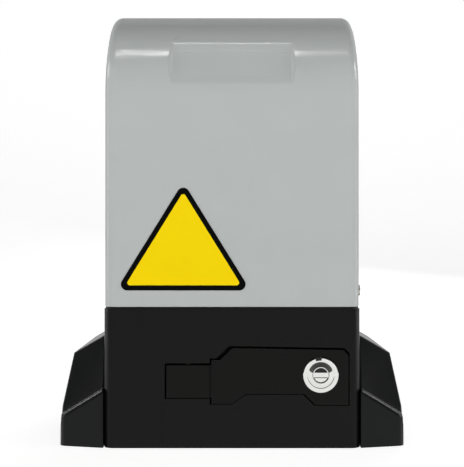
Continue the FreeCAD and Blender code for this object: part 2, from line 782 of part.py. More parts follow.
# Seal between the cover and the base
ring = box("seal_outside", "-half_width + 0.4", "-half_depth + 0.4", "base_height",
           "body_width - 0.8", "body_depth - 0.8", "seal_thickness")
hollow = box("seal_inside", "-half_width + 0.4 + seal_width", "-half_depth + 0.4 + seal_width", "base_height - 1",
             "body_width - 0.8 - 2 * seal_width", "body_depth - 0.8 - 2 * seal_width", "seal_thickness + 2")
corners = doc.addObject("Part::Fillet", "seal_round")
corners.Base = ring
doc.recompute()
corners.Edges = [(i, value("corner_radius"), value("corner_radius"))
                 for i, edge in enumerate(ring.Shape.Edges, 1) if upright(edge, value("seal_thickness"))]
node(cut("seal", corners, hollow), "cover_seal")

# Release lever: an outside arm, and a hub with a cam that pushes the clutch rod
lever = new_body("lever")
polygon(sketch(lever, "arm", "XZ", "base_y"), lever_outline(0, 0, 0))
pad(lever, lever.Group[-1], "lever_thickness", reverse=True)
circle(sketch(lever, "swing", "XY"), "shaft_x", "pivot_y",
       "sqrt(window_half * window_half + (base_y + pivot_y) * (base_y + pivot_y)) + 0.4")
pocket(lever, lever.Group[-1], "base_height", reverse=True)


def cam_points():
    """The cam's flank seen from above: it pushes a flat head further as the lever turns, evenly."""
    rate = value("dog_travel") / (math.pi / 2)
    points = []
    for step in range(13):
        turn = math.radians(90) * step / 12
        reach = value("cam_rest") + rate * turn
        away = Vector(-math.sin(turn), math.cos(turn), 0)
        along = Vector(-math.cos(turn), -math.sin(turn), 0)
        points.append(away * reach + along * rate)
    return points


def hub_shape():
    """The hub seen from above: the cam's flank behind, a flush front face, and a groove beside the arm."""
    pivot = Vector(value("shaft_x"), value("pivot_y"), value("hub_bottom"))
    front = value("hub_set_back - base_y - pivot_y")
    half = value("hub_half_width")
    groove = half + value("split_line")
    right = value("window_half + 6")
    flank = [pivot + point for point in cam_points()]
    curve = Part.BSplineCurve()
    curve.interpolate(flank)
    corners = [flank[-1]]
    for x, y in (
        (-half, front),
        (groove, front),
        (groove, front + 2),
        (right, front + 2),
        (right, value("lever_back - pivot_y")),
    ):
        corners.append(pivot + Vector(x, y, 0))
    corners += [flank[0] + Vector(8, 0, 0), flank[0]]
    edges = [curve.toShape()] + Part.makePolygon(corners).Edges
    outline = Part.Wire(Part.__sortEdges__(edges))
    return Part.Face(outline).extrude(Vector(0, 0, value("hub_top - hub_bottom")))


hub = doc.addObject("Part::Feature", "lever_hub")
hub.Shape = hub_shape()
pin_hole = cylinder("lever_pin_hole", "pivot_radius + fit", "base_height", "shaft_x", "pivot_y", 0)
barrel_hole = cylinder("lever_barrel_hole", "barrel_radius + fit", "lever_thickness + 2",
                       "lock_x", "-base_y - 1", "lock_z", "y")
node(cut("lever_part", fuse("lever_whole", lever, hub), pin_hole, barrel_hole), "release_lever")
node(cylinder("pivot", "pivot_radius", "hub_top + 9", "shaft_x", "pivot_y", 2), "lever_pivot_pin")

# Lock: a dished bezel and barrel fixed in the lever, with a plug that turns a cam behind a strike
lock = new_body("lock")
turned = sketch(lock, "barrel_section", "XY")
polygon(turned, [
    ("plug_radius + fit", "-bezel_thickness + 1.9"),
    ("bezel_radius - 3.8", "-bezel_thickness"),
    ("bezel_radius", "-bezel_thickness"),
    ("bezel_radius", "-0.05"),
    ("barrel_radius", "-0.05"),
    ("barrel_radius", "lever_thickness + 6"),
    ("plug_radius + fit", "lever_thickness + 6"),
])
spin = lock.newObject("PartDesign::Revolution", "barrel_turned")
spin.Profile = turned
spin.ReferenceAxis = (turned, ["V_Axis"])
spin.Angle = 360
place(lock, "lock_x", "-base_y", "lock_z")
node(lock, "lock_barrel")
nut = hexagon("nut_blank", "barrel_radius + 4.4", 3.5, "lock_x", "lever_back + 0.05", "lock_z", "y")
nut_hole = cylinder("nut_hole", "barrel_radius + fit", 6, "lock_x", "lever_back - 1", "lock_z", "y")
node(cut("nut", nut, nut_hole), "lock_nut")
plug = cylinder("plug_body", "plug_radius", "cam_y + base_y + cam_thickness + 0.4", "lock_x",
                "-base_y - 0.4", "lock_z", "y")
key_slot = box("key_slot", "lock_x - 4", "-base_y - 1.4", "lock_z - 0.6", 8, 5, 1.2)
cam_disc = cylinder("cam_disc", "barrel_radius - 1", "cam_thickness", "lock_x", "cam_y", "lock_z", "y")
cam_arm = box("cam_arm", "lock_x - 4.5", "cam_y", "lock_z - cam_reach", 9, "cam_thickness", "cam_reach")
node(cut("plug", fuse("plug_whole", plug, cam_disc, cam_arm), key_slot), "lock_plug")
strike_leg = box("strike_leg", "lever_right - 0.8", "cam_y - 3.2", "lock_z - 7", 1.2, "pocket_floor - cam_y + 3.2", 14)
strike_lip = box("strike_lip", "lever_right - 5", "cam_y - 3.2", "lock_z - 7", 5, 1.5, 14)
strike_foot = box("strike_foot", "lever_right - 14", "pocket_floor - 1.2", "lock_z - 7", 14.4, 1.2, 14)
node(fuse("strike", strike_leg, strike_lip, strike_foot), "lock_strike")

# Clutch rod, dog and cross pin on the output shaft
rod_stem = cylinder("rod_stem", "rod_radius", "rod_back - rod_front", "shaft_x", "rod_front", "shaft_z", "y")
rod_head = cylinder("rod_head", "rod_head_radius", "rod_head_thickness", "shaft_x", "rod_front", "shaft_z", "y")
node(fuse("rod", rod_stem, rod_head), "release_rod")

shaft = cylinder("shaft_blank", "shaft_radius", "pinion_back - seat_front - 1", "shaft_x", "seat_front + 1",
                 "shaft_z", "y")
shaft_bore = cylinder("shaft_bore", "rod_radius + fit", "dog_pin_y + dog_travel + 6 - seat_front", "shaft_x",
                      "seat_front", "shaft_z", "y")
pin_slot = box("pin_slot", "shaft_x - shaft_radius - 1", "dog_pin_y - pin_radius - 0.2", "shaft_z - pin_radius - fit",
               "2 * shaft_radius + 2", "dog_travel + 2 * pin_radius + 0.6", "2 * pin_radius + 2 * fit")
keyway = box("shaft_keyway", "shaft_x - key_width / 2", "pinion_front + 2", "shaft_z + shaft_radius - 4",
             "key_width", "key_length", 5)
end_hole = cylinder("shaft_end_hole", 4.03, 24, "shaft_x", "pinion_back - 22", "shaft_z", "y")
node(cut("shaft", shaft, shaft_bore, pin_slot, keyway, end_hole), "output_shaft")
node(box("key", "shaft_x - key_width / 2", "pinion_front + 2", "shaft_z + shaft_radius - 4",
         "key_width", "key_length", "key_height"), "pinion_key")


def wound_shape(profile, pitch, turns, steps):
    """A profile of (radius, height) corners wound round Z, as flat facets between sections a few degrees apart."""
    sections = []
    for number in range(turns * steps + 1):
        turn = 2 * math.pi * number / steps
        climb = pitch * number / steps
        sections.append([Vector(r * math.cos(turn), r * math.sin(turn), z + climb) for r, z in profile])
    faces = [Part.Face(Part.makePolygon(end + end[:1])) for end in (sections[0], sections[-1])]
    for low, high in zip(sections, sections[1:]):
        for corner in range(len(profile)):
            following = (corner + 1) % len(profile)
            for triangle in ((low[corner], low[following], high[following]),
                             (low[corner], high[following], high[corner])):
                faces.append(Part.Face(Part.makePolygon(triangle + triangle[:1])))
    solid = Part.Solid(Part.makeShell(faces))
    if solid.Volume < 0:
        solid.reverse()
    return solid


# A spring on the shaft pushes the dog back towards the wheel
spring_start = value("dog_front + dog_width + 0.1")
spring_length = value("rear_bearing - 0.1") - spring_start
wire_size = value("spring_wire")
spring_inside = value("shaft_radius + 1.2")
spring_profile = [
    (spring_inside, 0),
    (spring_inside + wire_size, 0),
    (spring_inside + wire_size, wire_size),
    (spring_inside, wire_size),
]
spring_turns = int(value("spring_turns"))
spring = shape_node("clutch_spring", wound_shape(
    spring_profile, (spring_length - wire_size) / spring_turns, spring_turns, int(value("spring_steps"))))
place(spring, "shaft_x", "dog_front + dog_width + 0.1", "shaft_z", (1, 0, 0), -90)

dog_body = hexagon("dog_blank", "dog_radius", "dog_width", "shaft_x", "dog_front", "shaft_z", "y")
dog_body.Polygon = 12
teeth = []
for side, start in (("low", "shaft_z - dog_radius + 0.6"), ("high", "shaft_z + shaft_radius + 0.6")):
    teeth.append(box(side + "_dog_tooth", "shaft_x - dog_tooth_width / 2", "dog_front - 1 - dog_bite", start,
                     "dog_tooth_width", "dog_bite + 2", "dog_radius - shaft_radius - 1.2"))
dog_bore = cylinder("dog_bore", "shaft_radius + fit", "dog_width + 10", "shaft_x", "dog_front - 6", "shaft_z", "y")
dog_cross = cylinder("dog_cross", "pin_radius", "2 * dog_radius + 2", "shaft_x - dog_radius - 1", "dog_pin_y",
                     "shaft_z", "x")
node(cut("dog", fuse("dog_whole", dog_body, *teeth), dog_bore, dog_cross), "clutch_dog")
node(cylinder("cross_pin", "pin_radius", "2 * dog_radius - 1", "shaft_x - dog_radius + 0.5", "dog_pin_y",
              "shaft_z", "x"), "clutch_pin")


def involute(angle):
    return math.tan(angle) - angle


def pinion_shape():
    """A spur pinion. Each flank is an arc through three points of the involute of the base circle."""
    module = value("pinion_module")
    teeth_count = int(value("pinion_teeth"))
    pitch = module * teeth_count / 2
    base_circle = pitch * math.cos(math.radians(20))
    tip = pitch + module
    root = pitch - 1.25 * module
    half_tooth = math.pi / (2 * teeth_count) + involute(math.radians(20))
    start = max(base_circle, root)
    flank = []
    for step in range(3):
        radius = start + (tip - start) * step / 2
        flank.append((radius, half_tooth - involute(math.acos(base_circle / radius))))

    def point(radius, angle):
        return Vector(radius * math.sin(angle), 0, radius * math.cos(angle))

    edges = []
    pitch_angle = 2 * math.pi / teeth_count
    for number in range(teeth_count):
        middle = number * pitch_angle
        rising = [point(radius, middle - angle) for radius, angle in flank]
        falling = [point(radius, middle + angle) for radius, angle in reversed(flank)]
        foot_left = point(root, middle - flank[0][1])
        foot_right = point(root, middle + flank[0][1])
        next_foot = point(root, middle + pitch_angle - flank[0][1])
        gap_middle = point(root, middle + pitch_angle / 2)
        edges.append(Part.makeLine(foot_left, rising[0]))
        for side in (rising, falling):
            edges.append(Part.Arc(*side).toShape())
            if side is rising:
                edges.append(Part.Arc(rising[-1], point(tip, middle), falling[0]).toShape())
        edges.append(Part.makeLine(falling[-1], foot_right))
        edges.append(Part.Arc(foot_right, gap_middle, next_foot).toShape())
    blank = Part.Face(Part.Wire(edges)).extrude(Vector(0, value("pinion_face"), 0))
    bore = Part.makeCylinder(value("shaft_radius + fit"), value("pinion_face"), Vector(), Vector(0, 1, 0))
    wide = value("key_width")
    way = Part.makeBox(wide, value("pinion_face"), value("key_height"),
                       Vector(-wide / 2, 0, value("shaft_radius - 4 + fit")))
    return blank.cut(bore.fuse(way))


pinion = shape_node("output_pinion", pinion_shape())
place(pinion, "shaft_x", "pinion_front", "shaft_z")
washer = box("washer_plate", "shaft_x - 14", "pinion_back + 0.05", "shaft_z - 14", 28, 3, 28)
washer_hole = cylinder("washer_hole", 4.2, 5, "shaft_x", "pinion_back - 1", "shaft_z", "y")
node(cut("washer", washer, washer_hole), "pinion_washer")
bolt_head = hexagon("pinion_bolt_head", 7.5, 5.5, "shaft_x", "pinion_back + 3.1", "shaft_z", "y")
bolt_shank = cylinder("pinion_bolt_shank", 4, 24, "shaft_x", "pinion_back - 20", "shaft_z", "y")
node(fuse("pinion_bolt_whole", bolt_head, bolt_shank), "pinion_bolt")


def worm_wheel_shape():
    """A bronze wheel with a wide hub; its tooth spaces lean by the worm's lead angle."""
    module = value("worm_module")
    count = int(value("wheel_teeth"))
    pitch = module * count / 2
    base_circle = pitch * math.cos(math.radians(20))
    tip = value("wheel_tip")
    root = value("wheel_root")
    face = value("wheel_face")
    half_tooth = math.pi / (2 * count) + involute(math.radians(20))
    space = math.pi / count
    low_half = base_circle * math.sin(space - half_tooth)
    high_half = tip * math.sin(space - half_tooth + involute(math.acos(base_circle / tip)))
    slant = (high_half - low_half) / (tip - base_circle)
    backlash = value("backlash")
    low_half = low_half - slant * (base_circle - root) + backlash
    reach = tip + 1 - root
    high_half = low_half + slant * reach
    rim = Part.makeCylinder(tip, face, Vector(0, -face / 2, 0), Vector(0, 1, 0))
    front = value("hub_front")
    wide = Part.makeCylinder(value("hub_radius"), front + value("hub_back"), Vector(0, -front, 0), Vector(0, 1, 0))
    blank = rim.fuse(wide)
    length = 2 * face
    outline = Part.makePolygon([
        Vector(-low_half, -length / 2, root),
        Vector(low_half, -length / 2, root),
        Vector(high_half, -length / 2, root + reach),
        Vector(-high_half, -length / 2, root + reach),
        Vector(-low_half, -length / 2, root),
    ])
    cutter = Part.Face(outline).extrude(Vector(0, length, 0))
    lead = math.degrees(math.atan(module / (2 * value("worm_pitch_radius"))))
    cutter.rotate(Vector(), Vector(0, 0, 1), -lead)
    # a space faces the worm, which stands on the +X side
    cutter.rotate(Vector(), Vector(0, 1, 0), 90)
    tools = []
    for number in range(count):
        tool = cutter.copy()
        tool.rotate(Vector(), Vector(0, 1, 0), 360 * number / count)
        tools.append(tool)
    bore = Part.makeCylinder(value("shaft_radius + fit"), 200, Vector(0, -100, 0), Vector(0, 1, 0))
    tooth = value("dog_tooth_width + 2 * loose")
    dog_slot = Part.makeBox(tooth, value("dog_bite + 1"), 2 * value("dog_radius") + 2,
                            Vector(-tooth / 2, value("hub_back - dog_bite - loose"), -value("dog_radius") - 1))
    return blank.cut(tools + [bore, dog_slot]).removeSplitter()


wheel = shape_node("worm_wheel", worm_wheel_shape())
place(wheel, "shaft_x", "wheel_y", "shaft_z")

# Rear flange closes the gear chamber and carries the rear bearing and the oil seal
flange = new_body("flange")
rectangle(sketch(flange, "flange_plate", "XZ", "-(base_y)"), "shaft_x - flange_size / 2", "shaft_z - flange_size / 2",
          "shaft_x + flange_size / 2", "shaft_z + flange_size / 2")
pad(flange, flange.Group[-1], "flange_thickness", reverse=True)
fillet(flange, "flange_round", 9, lambda edge: edge.BoundBox.YLength > value("flange_thickness") - 0.01)
circle(sketch(flange, "spigot", "XZ", "-(base_y)"), "shaft_x", "shaft_z", "output_bearing_radius + 5")
pad(flange, flange.Group[-1], "base_y - rear_bearing")
circle(sketch(flange, "rear_seat", "XZ", "-(rear_bearing - 1)"), "shaft_x", "shaft_z", "output_bearing_radius + fit")
pocket(flange, flange.Group[-1], "output_bearing_width + 1")
circle(sketch(flange, "seal_seat", "XZ", "-(rear_bearing)"), "shaft_x", "shaft_z", "shaft_radius + 6")
pocket(flange, flange.Group[-1], "body_depth")
node(flange, "rear_flange")
flange_bolts = []
for across in ("-", "+"):
    for up in ("-", "+"):
        spot = (f"shaft_x {across} flange_bolt_spacing / 2", f"shaft_z {up} flange_bolt_spacing / 2")
        name = f"flange_bolt_{len(flange_bolts)}"
        flange_bolts.append(hexagon(name, 4.6, 3.5, spot[0], "flange_face + 0.02", spot[1], "y"))
node(group("flange_bolt_set", *flange_bolts), "flange_bolts")

# Bearings sit in the casting, the flange and the motor's shields; the shafts run in them
rings = []
for name, radius, width, along, spot in (
    ("front_bearing", "output_bearing_radius", "output_bearing_width", "y", ("shaft_x", "seat_front + 0.4", "shaft_z")),
    ("rear_bearing", "output_bearing_radius", "output_bearing_width", "y", ("shaft_x", "rear_bearing", "shaft_z")),
    ("worm_bearing", "motor_bearing_radius", "motor_bearing_width", "z",
     ("worm_x", "wheel_y", "worm_bearing_top - motor_bearing_width + 0.1")),
    ("middle_bearing", "motor_bearing_radius", "motor_bearing_width", "z", ("worm_x", "wheel_y", "deck + 0.2")),
    ("upper_bearing", "motor_bearing_radius", "motor_bearing_width", "z",
     ("worm_x", "wheel_y", "stator_top + winding_height + 1.5")),
):
    blank = cylinder(name + "_blank", radius, width, *spot, along)
    bore = "shaft_radius" if along == "y" else "motor_shaft_radius"
    start = list(spot)
    start["xyz".index(along)] += " - 1"
    hole = cylinder(name + "_bore", bore + " + fit", f"{width} + 2", *start, along)
    rings.append(cut(name, blank, hole))
node(group("bearing_set", *rings), "bearings")

# Rubber rings: the shaft seal in the flange and the grommet where the cable comes up
lip = cylinder("lip_blank", "shaft_radius + 6 - fit", 7, "shaft_x", "flange_face - 7", "shaft_z", "y")
lip_bore = cylinder("lip_bore", "shaft_radius + fit", 9, "shaft_x", "flange_face - 8", "shaft_z", "y")
grommet = cylinder("grommet_blank", "grommet_radius - 0.05", "deck_thickness + 4", "grommet_x", "grommet_y",
                   "deck - deck_thickness")
cable_way = cylinder("cable_way", "grommet_radius - 3", "deck_thickness + 6", "grommet_x", "grommet_y",
                     "deck - deck_thickness - 1")
node(group("rubber_set", cut("lip", lip, lip_bore), cut("grommet", grommet, cable_way)), "shaft_seal_and_grommet")

# Motor: a square stack of stator plates between two shields, all held by four long bolts


def motor_outline(drawing, half, corner):
    """A square on the worm's axis with its corners cut off."""
    corners = []
    for across, up in ((1, 1), (-1, 1), (-1, -1), (1, -1)):
        pair = [
            (f"worm_x + {across} * ({half} - {corner})", f"wheel_y + {up} * {half}"),
            (f"worm_x + {across} * {half}", f"wheel_y + {up} * ({half} - {corner})"),
        ]
        corners += pair if across * up < 0 else pair[::-1]
    polygon(drawing, corners)


def motor_block(name, low, height, corner):
    body = new_body(name)
    motor_outline(sketch(body, name + "_outline", "XY", low), "motor_side / 2", corner)
    pad(body, body.Group[-1], height)
    return body


lower = motor_block("lower_shield", "deck + 0.05", "stator_bottom - deck - 0.05", 3)
motor_outline(sketch(lower, "lower_cavity", "XY", "stator_bottom"), "shield_cavity", 20)
pocket(lower, lower.Group[-1], "stator_bottom - deck - shield_floor - 3")
circle(sketch(lower, "lower_seat", "XY", "deck"), "worm_x", "wheel_y", "motor_bearing_radius + fit")
pocket(lower, lower.Group[-1], "shield_floor + 6", reverse=True)
node(lower, "motor_lower_shield")

stator = motor_block("stator", "stator_bottom + 0.05", "stator_length - 0.1", "motor_corner")
circle(sketch(stator, "stator_hole", "XY", "stator_bottom"), "worm_x", "wheel_y", "stator_bore")
pocket(stator, stator.Group[-1], "stator_length", reverse=True)
node(stator, "stator_core")

upper = motor_block("upper_shield", "stator_top", "upper_shield_height", 3)
motor_outline(sketch(upper, "upper_cavity", "XY", "stator_top"), "shield_cavity", 20)
pocket(upper, upper.Group[-1], "winding_height + 1", reverse=True)
circle(sketch(upper, "upper_seat", "XY", "stator_top"), "worm_x", "wheel_y", "motor_bearing_radius + fit")
pocket(upper, upper.Group[-1], "upper_shield_height + 1", reverse=True)
node(upper, "motor_upper_shield")

coils = []
for name, low in (("lower_coil", "stator_bottom - winding_height + 3"), ("upper_coil", "stator_top")):
    ring = hexagon(name + "_outside", "winding_radius", "winding_height - 3", "worm_x", "wheel_y", low)
    hole = hexagon(name + "_inside", "stator_bore + 4", "winding_height + 2", "worm_x", "wheel_y", f"{low} - 1")
    ring.Polygon = 16
    hole.Polygon = 16
    coils.append(cut(name, ring, hole))
node(group("coils", *coils), "stator_windings")

motor_bolts = []
for across in ("-", "+"):
    for up in ("-", "+"):
        spot = (f"worm_x {across} motor_bolt_spacing / 2", f"wheel_y {up} motor_bolt_spacing / 2")
        name = f"motor_bolt_{len(motor_bolts)}"
        motor_bolts.append(hexagon(name + "_head", 4.2, 3, *spot, "shield_top + 0.02"))
        motor_bolts.append(hexagon(name, "screw_radius", "stator_length - 0.1", *spot, "stator_bottom + 0.05"))
node(group("motor_bolt_set", *motor_bolts), "motor_bolts")

# Rotor: one shaft with the worm cut on its lower end, the rotor core and the fan


def worm_thread_shape():
    """One start of thread with flanks at 20 degrees, its root sunk in the core."""
    root = value("worm_root - 0.3")
    slope = math.tan(math.radians(20))
    half = value("worm_pitch") / 4 - value("backlash")
    low_half = half + (value("worm_pitch_radius") - root) * slope
    high_half = half - value("worm_module") * slope
    tip = value("worm_tip")
    profile = [(root, -low_half), (tip, -high_half), (tip, high_half), (root, low_half)]
    return wound_shape(profile, value("worm_pitch"), int(value("worm_turns")), int(value("worm_steps")))


worm = doc.addObject("Part::Feature", "worm_thread")
worm.Shape = worm_thread_shape()
place(worm, "worm_x", "wheel_y", "shaft_z - worm_half_length")
core = hexagon("worm_core", "worm_root", "2 * worm_half_length + 14", "worm_x", "wheel_y",
               "shaft_z - worm_half_length - 7")
core.Polygon = sizes["worm_steps"]
stem = cylinder("rotor_stem", "motor_shaft_radius", "shield_top + 20 - worm_bearing_top + motor_bearing_width",
                "worm_x", "wheel_y", "worm_bearing_top - motor_bearing_width + 0.5")
node(fuse("rotor_shaft_whole", worm, core, stem), "rotor_shaft")
rotor = hexagon("rotor_blank", "stator_bore - air_gap", "stator_length - 8", "worm_x", "wheel_y", "stator_bottom + 4")
rotor.Polygon = 24
rotor_hole = cylinder("rotor_hole", "motor_shaft_radius", "stator_length", "worm_x", "wheel_y", "stator_bottom")
node(cut("rotor", rotor, rotor_hole), "rotor_core")
fan_hub = hexagon("fan_hub", "motor_shaft_radius + 5", "fan_height", "worm_x", "wheel_y", "shield_top + 4.5")
fan_hub.Polygon = 16
fan_parts = [fan_hub]
for number in range(6):
    blade = box(f"fan_blade_{number}", "worm_x", "wheel_y", "shield_top + 5.5", "fan_radius", 2, "fan_height - 2")
    blade.Placement.Rotation = FreeCAD.Rotation(Vector(0, 0, 1), 60 * number)
    fan_parts.append(blade)
fan_hole = cylinder("fan_hole", "motor_shaft_radius", "fan_height + 4", "worm_x", "wheel_y", "shield_top + 3")
node(cut("fan", fuse("fan_whole", *fan_parts), fan_hole), "cooling_fan")

# Electrics: a sheet metal bracket on the deck, the control board in front of it, and the capacitor
back_plate = box("back_plate", "-board_width / 2 - 3", "bracket_y - sheet_metal", "deck + 0.05",
                 "board_width + 6", "sheet_metal", "board_bottom + board_height - deck + 4")
back_foot = box("back_foot", "-board_width / 2 - 3", "bracket_y - sheet_metal", "deck + 0.05",
                "board_width + 6", 11, "sheet_metal")
node(fuse("bracket", back_plate, back_foot), "control_bracket")
spacers = []
for across in ("-", "+"):
    for up in ("board_bottom + 6", "board_bottom + board_height - 6"):
        name = f"spacer_{len(spacers)}"
        post = hexagon(name, 3, "standoff", f"0 {across} (board_width / 2 - 6)", "bracket_y - sheet_metal - standoff",
                       up, "y")
        spacers.append(post)
node(group("spacer_set", *spacers), "board_standoffs")
node(box("board", "-board_width / 2", "board_y - board_thickness - 0.02", "board_bottom",
         "board_width", "board_thickness", "board_height"), "control_board")


def component(name, x, z, width, depth, height):
    """A block on the front of the board; its place and sizes are counted in steps of the board's grid."""
    return box(name, f"{x} * board_grid - board_width / 2", f"board_y - board_thickness - 0.04 - {depth} * board_grid",
               f"board_bottom + {z} * board_grid", f"{width} * board_grid", f"{depth} * board_grid",
               f"{height} * board_grid")


blocks = [component(f"terminals_{n}", 4 + 23 * n, 2.5, 21, 6, 6.5) for n in range(3)]
node(group("terminals", *blocks), "terminal_blocks")
relays = [component(f"relay_{n}", 6 + 17 * n, 13, 14.5, 8, 6.5) for n in range(3)]
node(group("relay_set", *relays), "relays")
node(component("transformer_core", 7, 24, 22, 9.5, 19), "transformer")
chips = [component("chip_0", 37, 25, 18, 2, 5), component("chip_1", 37, 33, 10, 2, 4)]
node(group("chip_set", *chips), "board_chips")
node(component("fuse", 59, 23, 12, 5, 4.5), "fuse_holder")

can = hexagon("can", "capacitor_radius", "capacitor_height", "capacitor_x", "capacitor_y", "deck + 0.1")
can.Polygon = 24
node(can, "run_capacitor")
strap = box("strap_outside", "capacitor_x - capacitor_radius - 2.4", "capacitor_y - capacitor_radius - 2.4",
            "deck + 30", "2 * capacitor_radius + 4.8", "2 * capacitor_radius + 4.8", 10)
strap_hole = cylinder("strap_hole", "capacitor_radius + 0.1", 12, "capacitor_x", "capacitor_y", "deck + 29")
strap_leg = box("strap_leg", "capacitor_x - 5", "capacitor_y - capacitor_radius - 3.2", "deck + 0.05", 10, 2, 38)
strap_foot = box("strap_foot", "capacitor_x - 5", "capacitor_y - capacitor_radius - 11", "deck + 0.05", 10, 9, 2)
node(cut("strap", fuse("strap_whole", strap, strap_leg, strap_foot), strap_hole), "capacitor_clamp")

# Limit switch: a housing open to the back, two microswitches, and a sprung whisker between them
half_switch = "switch_width / 2"
shell_box = box("switch_shell", f"shaft_x - {half_switch}", "switch_y - switch_depth / 2", "deck + 0.05",
                "switch_width", "switch_depth", "switch_height")
room = box("switch_room", f"shaft_x - {half_switch} + 3", "switch_y - switch_depth / 2 + 3", "whisker_z - 11",
           "switch_width - 6", "switch_depth", 21)
pivot_hole = cylinder("whisker_hole", "pivot_radius + fit", "switch_height - 4", "shaft_x", "switch_y", "deck + 6")
node(cut("switch_case", shell_box, room, pivot_hole), "limit_switch_housing")
node(cylinder("whisker_pin", "pivot_radius", "switch_height - 6", "shaft_x", "switch_y", "deck + 6.5"),
     "whisker_pivot_pin")
switches = [
    box("left_switch", f"shaft_x - {half_switch} + 3.05", "switch_y - 6", "whisker_z - 8", 6, 18, 16),
    box("right_switch", f"shaft_x + {half_switch} - 9.05", "switch_y - 6", "whisker_z - 8", 6, 18, 16),
]
node(group("switch_pair", *switches), "limit_microswitches")
boss = hexagon("whisker_boss", "pivot_radius + 2.5", 14, "shaft_x", "switch_y", "whisker_z - 7")
wire = cylinder("whisker_wire", 1.6, "whisker_reach - 4", "shaft_x", "switch_y + 4", "whisker_z", "y")
whisker_bore = cylinder("whisker_bore", "pivot_radius + fit", 20, "shaft_x", "switch_y", "whisker_z - 10")
node(cut("whisker", fuse("whisker_whole", boss, wire), whisker_bore), "limit_whisker")

doc.recompute()
for thing in doc.Objects:
    if {"Invalid", "Error"} & set(thing.State):
        raise RuntimeError(f"{thing.Label} did not recompute")
for thing in nodes:
    if thing.Shape.isNull() or not thing.Shape.isValid():
        raise RuntimeError(f"{thing.Label} has no valid shape")

os.makedirs("parts", exist_ok=True)
for thing in nodes:
    thing.Shape.exportStep(f"parts/{thing.Label}.step")
print(len(nodes), "sub-parts written")
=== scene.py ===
# Sliding gate motor, dressed over its CAD frame: arched grey cover, black gear case, feet, lever and lock.
import json
import math

import bmesh
import bpy
import numpy as np
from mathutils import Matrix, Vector


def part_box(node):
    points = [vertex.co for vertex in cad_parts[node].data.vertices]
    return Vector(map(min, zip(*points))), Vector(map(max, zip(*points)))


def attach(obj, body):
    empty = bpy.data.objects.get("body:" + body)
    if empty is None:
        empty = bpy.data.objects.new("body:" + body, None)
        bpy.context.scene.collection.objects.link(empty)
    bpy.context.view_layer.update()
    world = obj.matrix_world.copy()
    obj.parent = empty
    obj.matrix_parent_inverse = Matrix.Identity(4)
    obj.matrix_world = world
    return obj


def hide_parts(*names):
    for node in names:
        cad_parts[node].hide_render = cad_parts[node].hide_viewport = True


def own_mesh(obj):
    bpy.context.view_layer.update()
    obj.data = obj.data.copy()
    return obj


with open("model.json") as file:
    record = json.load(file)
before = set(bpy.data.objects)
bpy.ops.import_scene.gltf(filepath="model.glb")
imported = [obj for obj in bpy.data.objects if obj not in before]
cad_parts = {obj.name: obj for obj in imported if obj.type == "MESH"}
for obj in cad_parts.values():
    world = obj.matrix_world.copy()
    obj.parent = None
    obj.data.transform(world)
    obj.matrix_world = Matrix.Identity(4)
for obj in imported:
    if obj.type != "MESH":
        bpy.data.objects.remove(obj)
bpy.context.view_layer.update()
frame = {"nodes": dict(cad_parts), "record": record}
bodies = frame["record"]["behaviour"]["bodies"]
bodyOf = {node: body for body, members in bodies.items() for node in members}
print("frame loaded:", len(bodyOf), "nodes")


def linear(color):
    # screen colour, 0 to 255, as the linear values that a shader takes
    parts = np.array(color) / 255
    return np.where(parts <= 0.04045, parts / 12.92, ((parts + 0.055) / 1.055) ** 2.4)


# what a finish has where it doesn't say otherwise
usual = dict(
    spread=0.03,  # how far the roughness (rough) varies to each side
    metal=0,
    shine=0.5,  # specular level
    coat=0, coatRough=0.13,  # clear coat
    uneven=0.05, cloud=45,  # change of tone, in patches counted per metre
    grain=0, fine=1500, brush=(1, 1, 1),  # bump height in metres, count per metre, stretch along x, y and z
)
finishes = {
    "coverGrey": dict(color=(186, 190, 189), rough=0.55, shine=0.12, coat=0.26, uneven=0.012,
                      grain=0.00001, fine=2200),
    "warningYellow": dict(color=(255, 221, 0), rough=0.45, shine=0.1, uneven=0.02),
    "signBlack": dict(color=(8, 9, 9), rough=0.5, shine=0.03),
    "caseBlack": dict(color=(16, 17, 16), rough=0.34, shine=0.13, grain=0.00003),
    "footBlack": dict(color=(12, 13, 13), rough=0.33, shine=0.2, grain=0.00001, fine=1800),
    "leverBlack": dict(color=(12, 12, 11), rough=0.3, shine=0.13, grain=0.00002, fine=1800),
    "rubber": dict(color=(22, 22, 22), rough=0.75, grain=0.00004, fine=900),
    "chrome": dict(color=(225, 225, 222), rough=0.08, metal=1, uneven=0.01, spread=0.01),
    # painted shade: a near-black finish that stands in for shade, in the plug's key slot and in the small
    # notch on the lock's rim
    "paintedShadeDark": dict(color=(14, 15, 15), rough=0.5),
    "zinc": dict(color=(200, 198, 188), rough=0.3, metal=1, uneven=0.1, cloud=260, spread=0.08),
    "machinedSteel": dict(color=(176, 178, 180), rough=0.28, metal=1, grain=0.00002, fine=300,
                          brush=(0.3, 12, 0.3)),
    "bronze": dict(color=(190, 150, 92), rough=0.32, metal=1, grain=0.00002, fine=300, brush=(0.3, 12, 0.3)),
    "castAluminium": dict(color=(178, 180, 182), rough=0.45, metal=1, uneven=0.08, grain=0.00006, fine=900),
    "statorSteel": dict(color=(110, 112, 116), rough=0.5, metal=1, grain=0.0001, fine=180,
                        brush=(0.05, 0.05, 12)),
    "copper": dict(color=(184, 98, 52), rough=0.35, metal=1, uneven=0.2, grain=0.0002, fine=160,
                   brush=(1, 1, 10)),
    "boardGreen": dict(color=(24, 92, 52), rough=0.35, uneven=0.3, cloud=420),
    "partBlack": dict(color=(30, 31, 33), rough=0.45, grain=0.00002),
    "terminalGreen": dict(color=(44, 140, 78), rough=0.4, grain=0.00002),
    "relayBlue": dict(color=(36, 74, 140), rough=0.4, grain=0.00002),
}
made = {}


